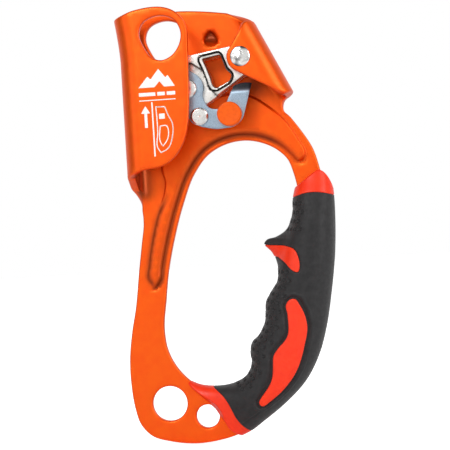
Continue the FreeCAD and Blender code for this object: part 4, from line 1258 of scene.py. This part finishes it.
# %% Dimples and lines of the rubber
DIMPLE_STEP, DIMPLE_RADIUS, DIMPLE_SINK = 3.7, 1.0, 0.65
rows_down = np.arange(18.5, down[-1] - 22, DIMPLE_STEP)
rows_down = rows_down[(rows_down < 31) | (rows_down > 47)]
ranks = np.array([0.16, 0.44, 0.72, 0.98])
shift = 0.14 * (np.arange(len(rows_down)) % 2)[:, None]
dimple_turn = np.pi - (ranks[None] + shift)
dimple_turn = np.concatenate([dimple_turn, AROUND - dimple_turn], axis=1)
dimple_along = np.broadcast_to(rows_down[:, None], dimple_turn.shape)
dimples = grip_surface(dimple_along, dimple_turn).reshape(-1, 3)
mould_lines = [curve_through([(41.4, -3.4), (36.5, -6.4), (31.5, -9.6)]),
               curve_through([(39.2, 1.2), (35.5, -1.6), (29.6, -3.6)])]
mould_lines = np.concatenate([np.stack([a, t * GIRTH], 1) for a, t in
                              (find_on_grip(line) for line in mould_lines)])
print(len(dimples), "dimples")


def nearest(points, targets):
    """Distance from each point to the nearest target, in blocks to save memory."""
    return np.concatenate([np.sqrt(((block[:, None] - targets[None]) ** 2).sum(2)).min(1)
                           for block in np.array_split(points, 60)])


def rubber_shape(along, turn):
    """Lift of the rubber: dimples, panel groove and ridge, seat of the inlay, mould line."""
    spots = grip_surface(along, turn).reshape(-1, 3)
    near = nearest(spots, dimples).reshape(along.shape)
    lift = -DIMPLE_SINK * np.clip(1 - (near / DIMPLE_RADIUS) ** 2, 0, 1)
    lift = lift + 0.12 * np.exp(-((near - 1.15) / 0.3) ** 2)
    folded_turn = np.where(turn > np.pi, AROUND - turn, turn)
    here = np.stack([along, folded_turn * GIRTH], axis=-1).reshape(-1, 2)
    from_panel = -edge_distance(here, [panel]).reshape(along.shape)
    lift = lift - 1.0 * ease((1.55 - from_panel) / 0.5)
    lift = lift + 0.22 * np.exp(-((from_panel - 2.2) / 0.35) ** 2)
    place = np.stack([along, turn * GIRTH], axis=-1).reshape(-1, 2)
    from_inlay = -edge_distance(place, [inlay]).reshape(along.shape)
    lift = lift - 0.45 * ease((0.5 - from_inlay) / 0.5)
    to_line = nearest(here, mould_lines).reshape(along.shape)
    return lift - 0.3 * np.exp(-(to_line / 0.35) ** 2)


points, faces = tube_between(rubber_top, rubber_end, 400, 0.5, 0.5, rubber_shape)
make_piece("rubber_sleeve", points, faces, rubber, "frame", ["grip_rubber"])


# %% Shell collars, panels and inlay
def parting(along, turn):
    """Fine groove where the two shells meet, on the middle plane."""
    from_plane = np.abs(grip_surface(along, turn)[..., 1])
    return -0.18 * np.exp(-(from_plane / 0.28) ** 2)


points, faces = tube_between(shell_top, rubber_top + 0.15, 60, 1.1, 0.5, parting)
make_piece("upper_shell_collar", points, faces, shell, "frame",
           ["grip_half_front"])
points, faces = tube_between(rubber_end - 0.15, shell_end, 70, 0.5, 1.1, parting)
make_piece("lower_shell_collar", points, faces, shell, "frame",
           ["grip_half_rear"])


def on_grip(points, proud, texture=None):
    """Lays a flat plate of (length down, girth, depth) on the grip, proud of it."""
    lift = proud - points[:, 2]
    if texture is not None:
        lift = lift + texture(points)
    return lay_on_grip(points[:, 0], points[:, 1] / GIRTH, lift)


def crosshatch(points):
    """Shallow diamonds on the panel's face, fading out near its edge."""
    inner = ease((edge_distance(points[:, :2], [panel]) - 1.6) / 1.0)
    along, round_it = points[:, 0], points[:, 1]
    waves = np.cos(1.9 * (along + round_it)) * np.cos(1.9 * (along - round_it))
    return 0.1 * waves * inner * (points[:, 2] < 1e-6)


points, faces = plate_solid(panel, (), 1.5, edge=0.45, grid=0.55)
front_panel = on_grip(points, 0.12, crosshatch)
make_piece("front_side_panel", front_panel, faces, shell, "frame",
           ["panel_front"])
make_piece("rear_side_panel", front_panel * [1, -1, 1], faces, shell, "frame",
           ["panel_rear"])
points, faces = plate_solid(inlay, (), 0.9, edge=0.3, grid=0.6)
make_piece("hook_inlay_moulded", on_grip(points, 0.08), faces, shell, "frame",
           ["hook_inlay_front", "hook_inlay_rear"])

# %% [markdown]
# ## Parts that keep their own shape
# Washers, the bush, the springs and hidden pins are already exact in the design model, so
# they only take a finish.

# %% Finishes of the design model's own nodes
kept = {"cam_bush": bronze, "cam_washer_rear": rivet, "cam_washer_front": rivet,
        "cam_spring": spring, "lever_washer": bronze, "lever_spring": spring,
        "knob_rivet": rivet, "grip_pins": rivet}
for node, own_finish in kept.items():
    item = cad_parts[node]
    item.data.materials.clear()
    item.data.materials.append(own_finish)
print("kept nodes:", *kept)
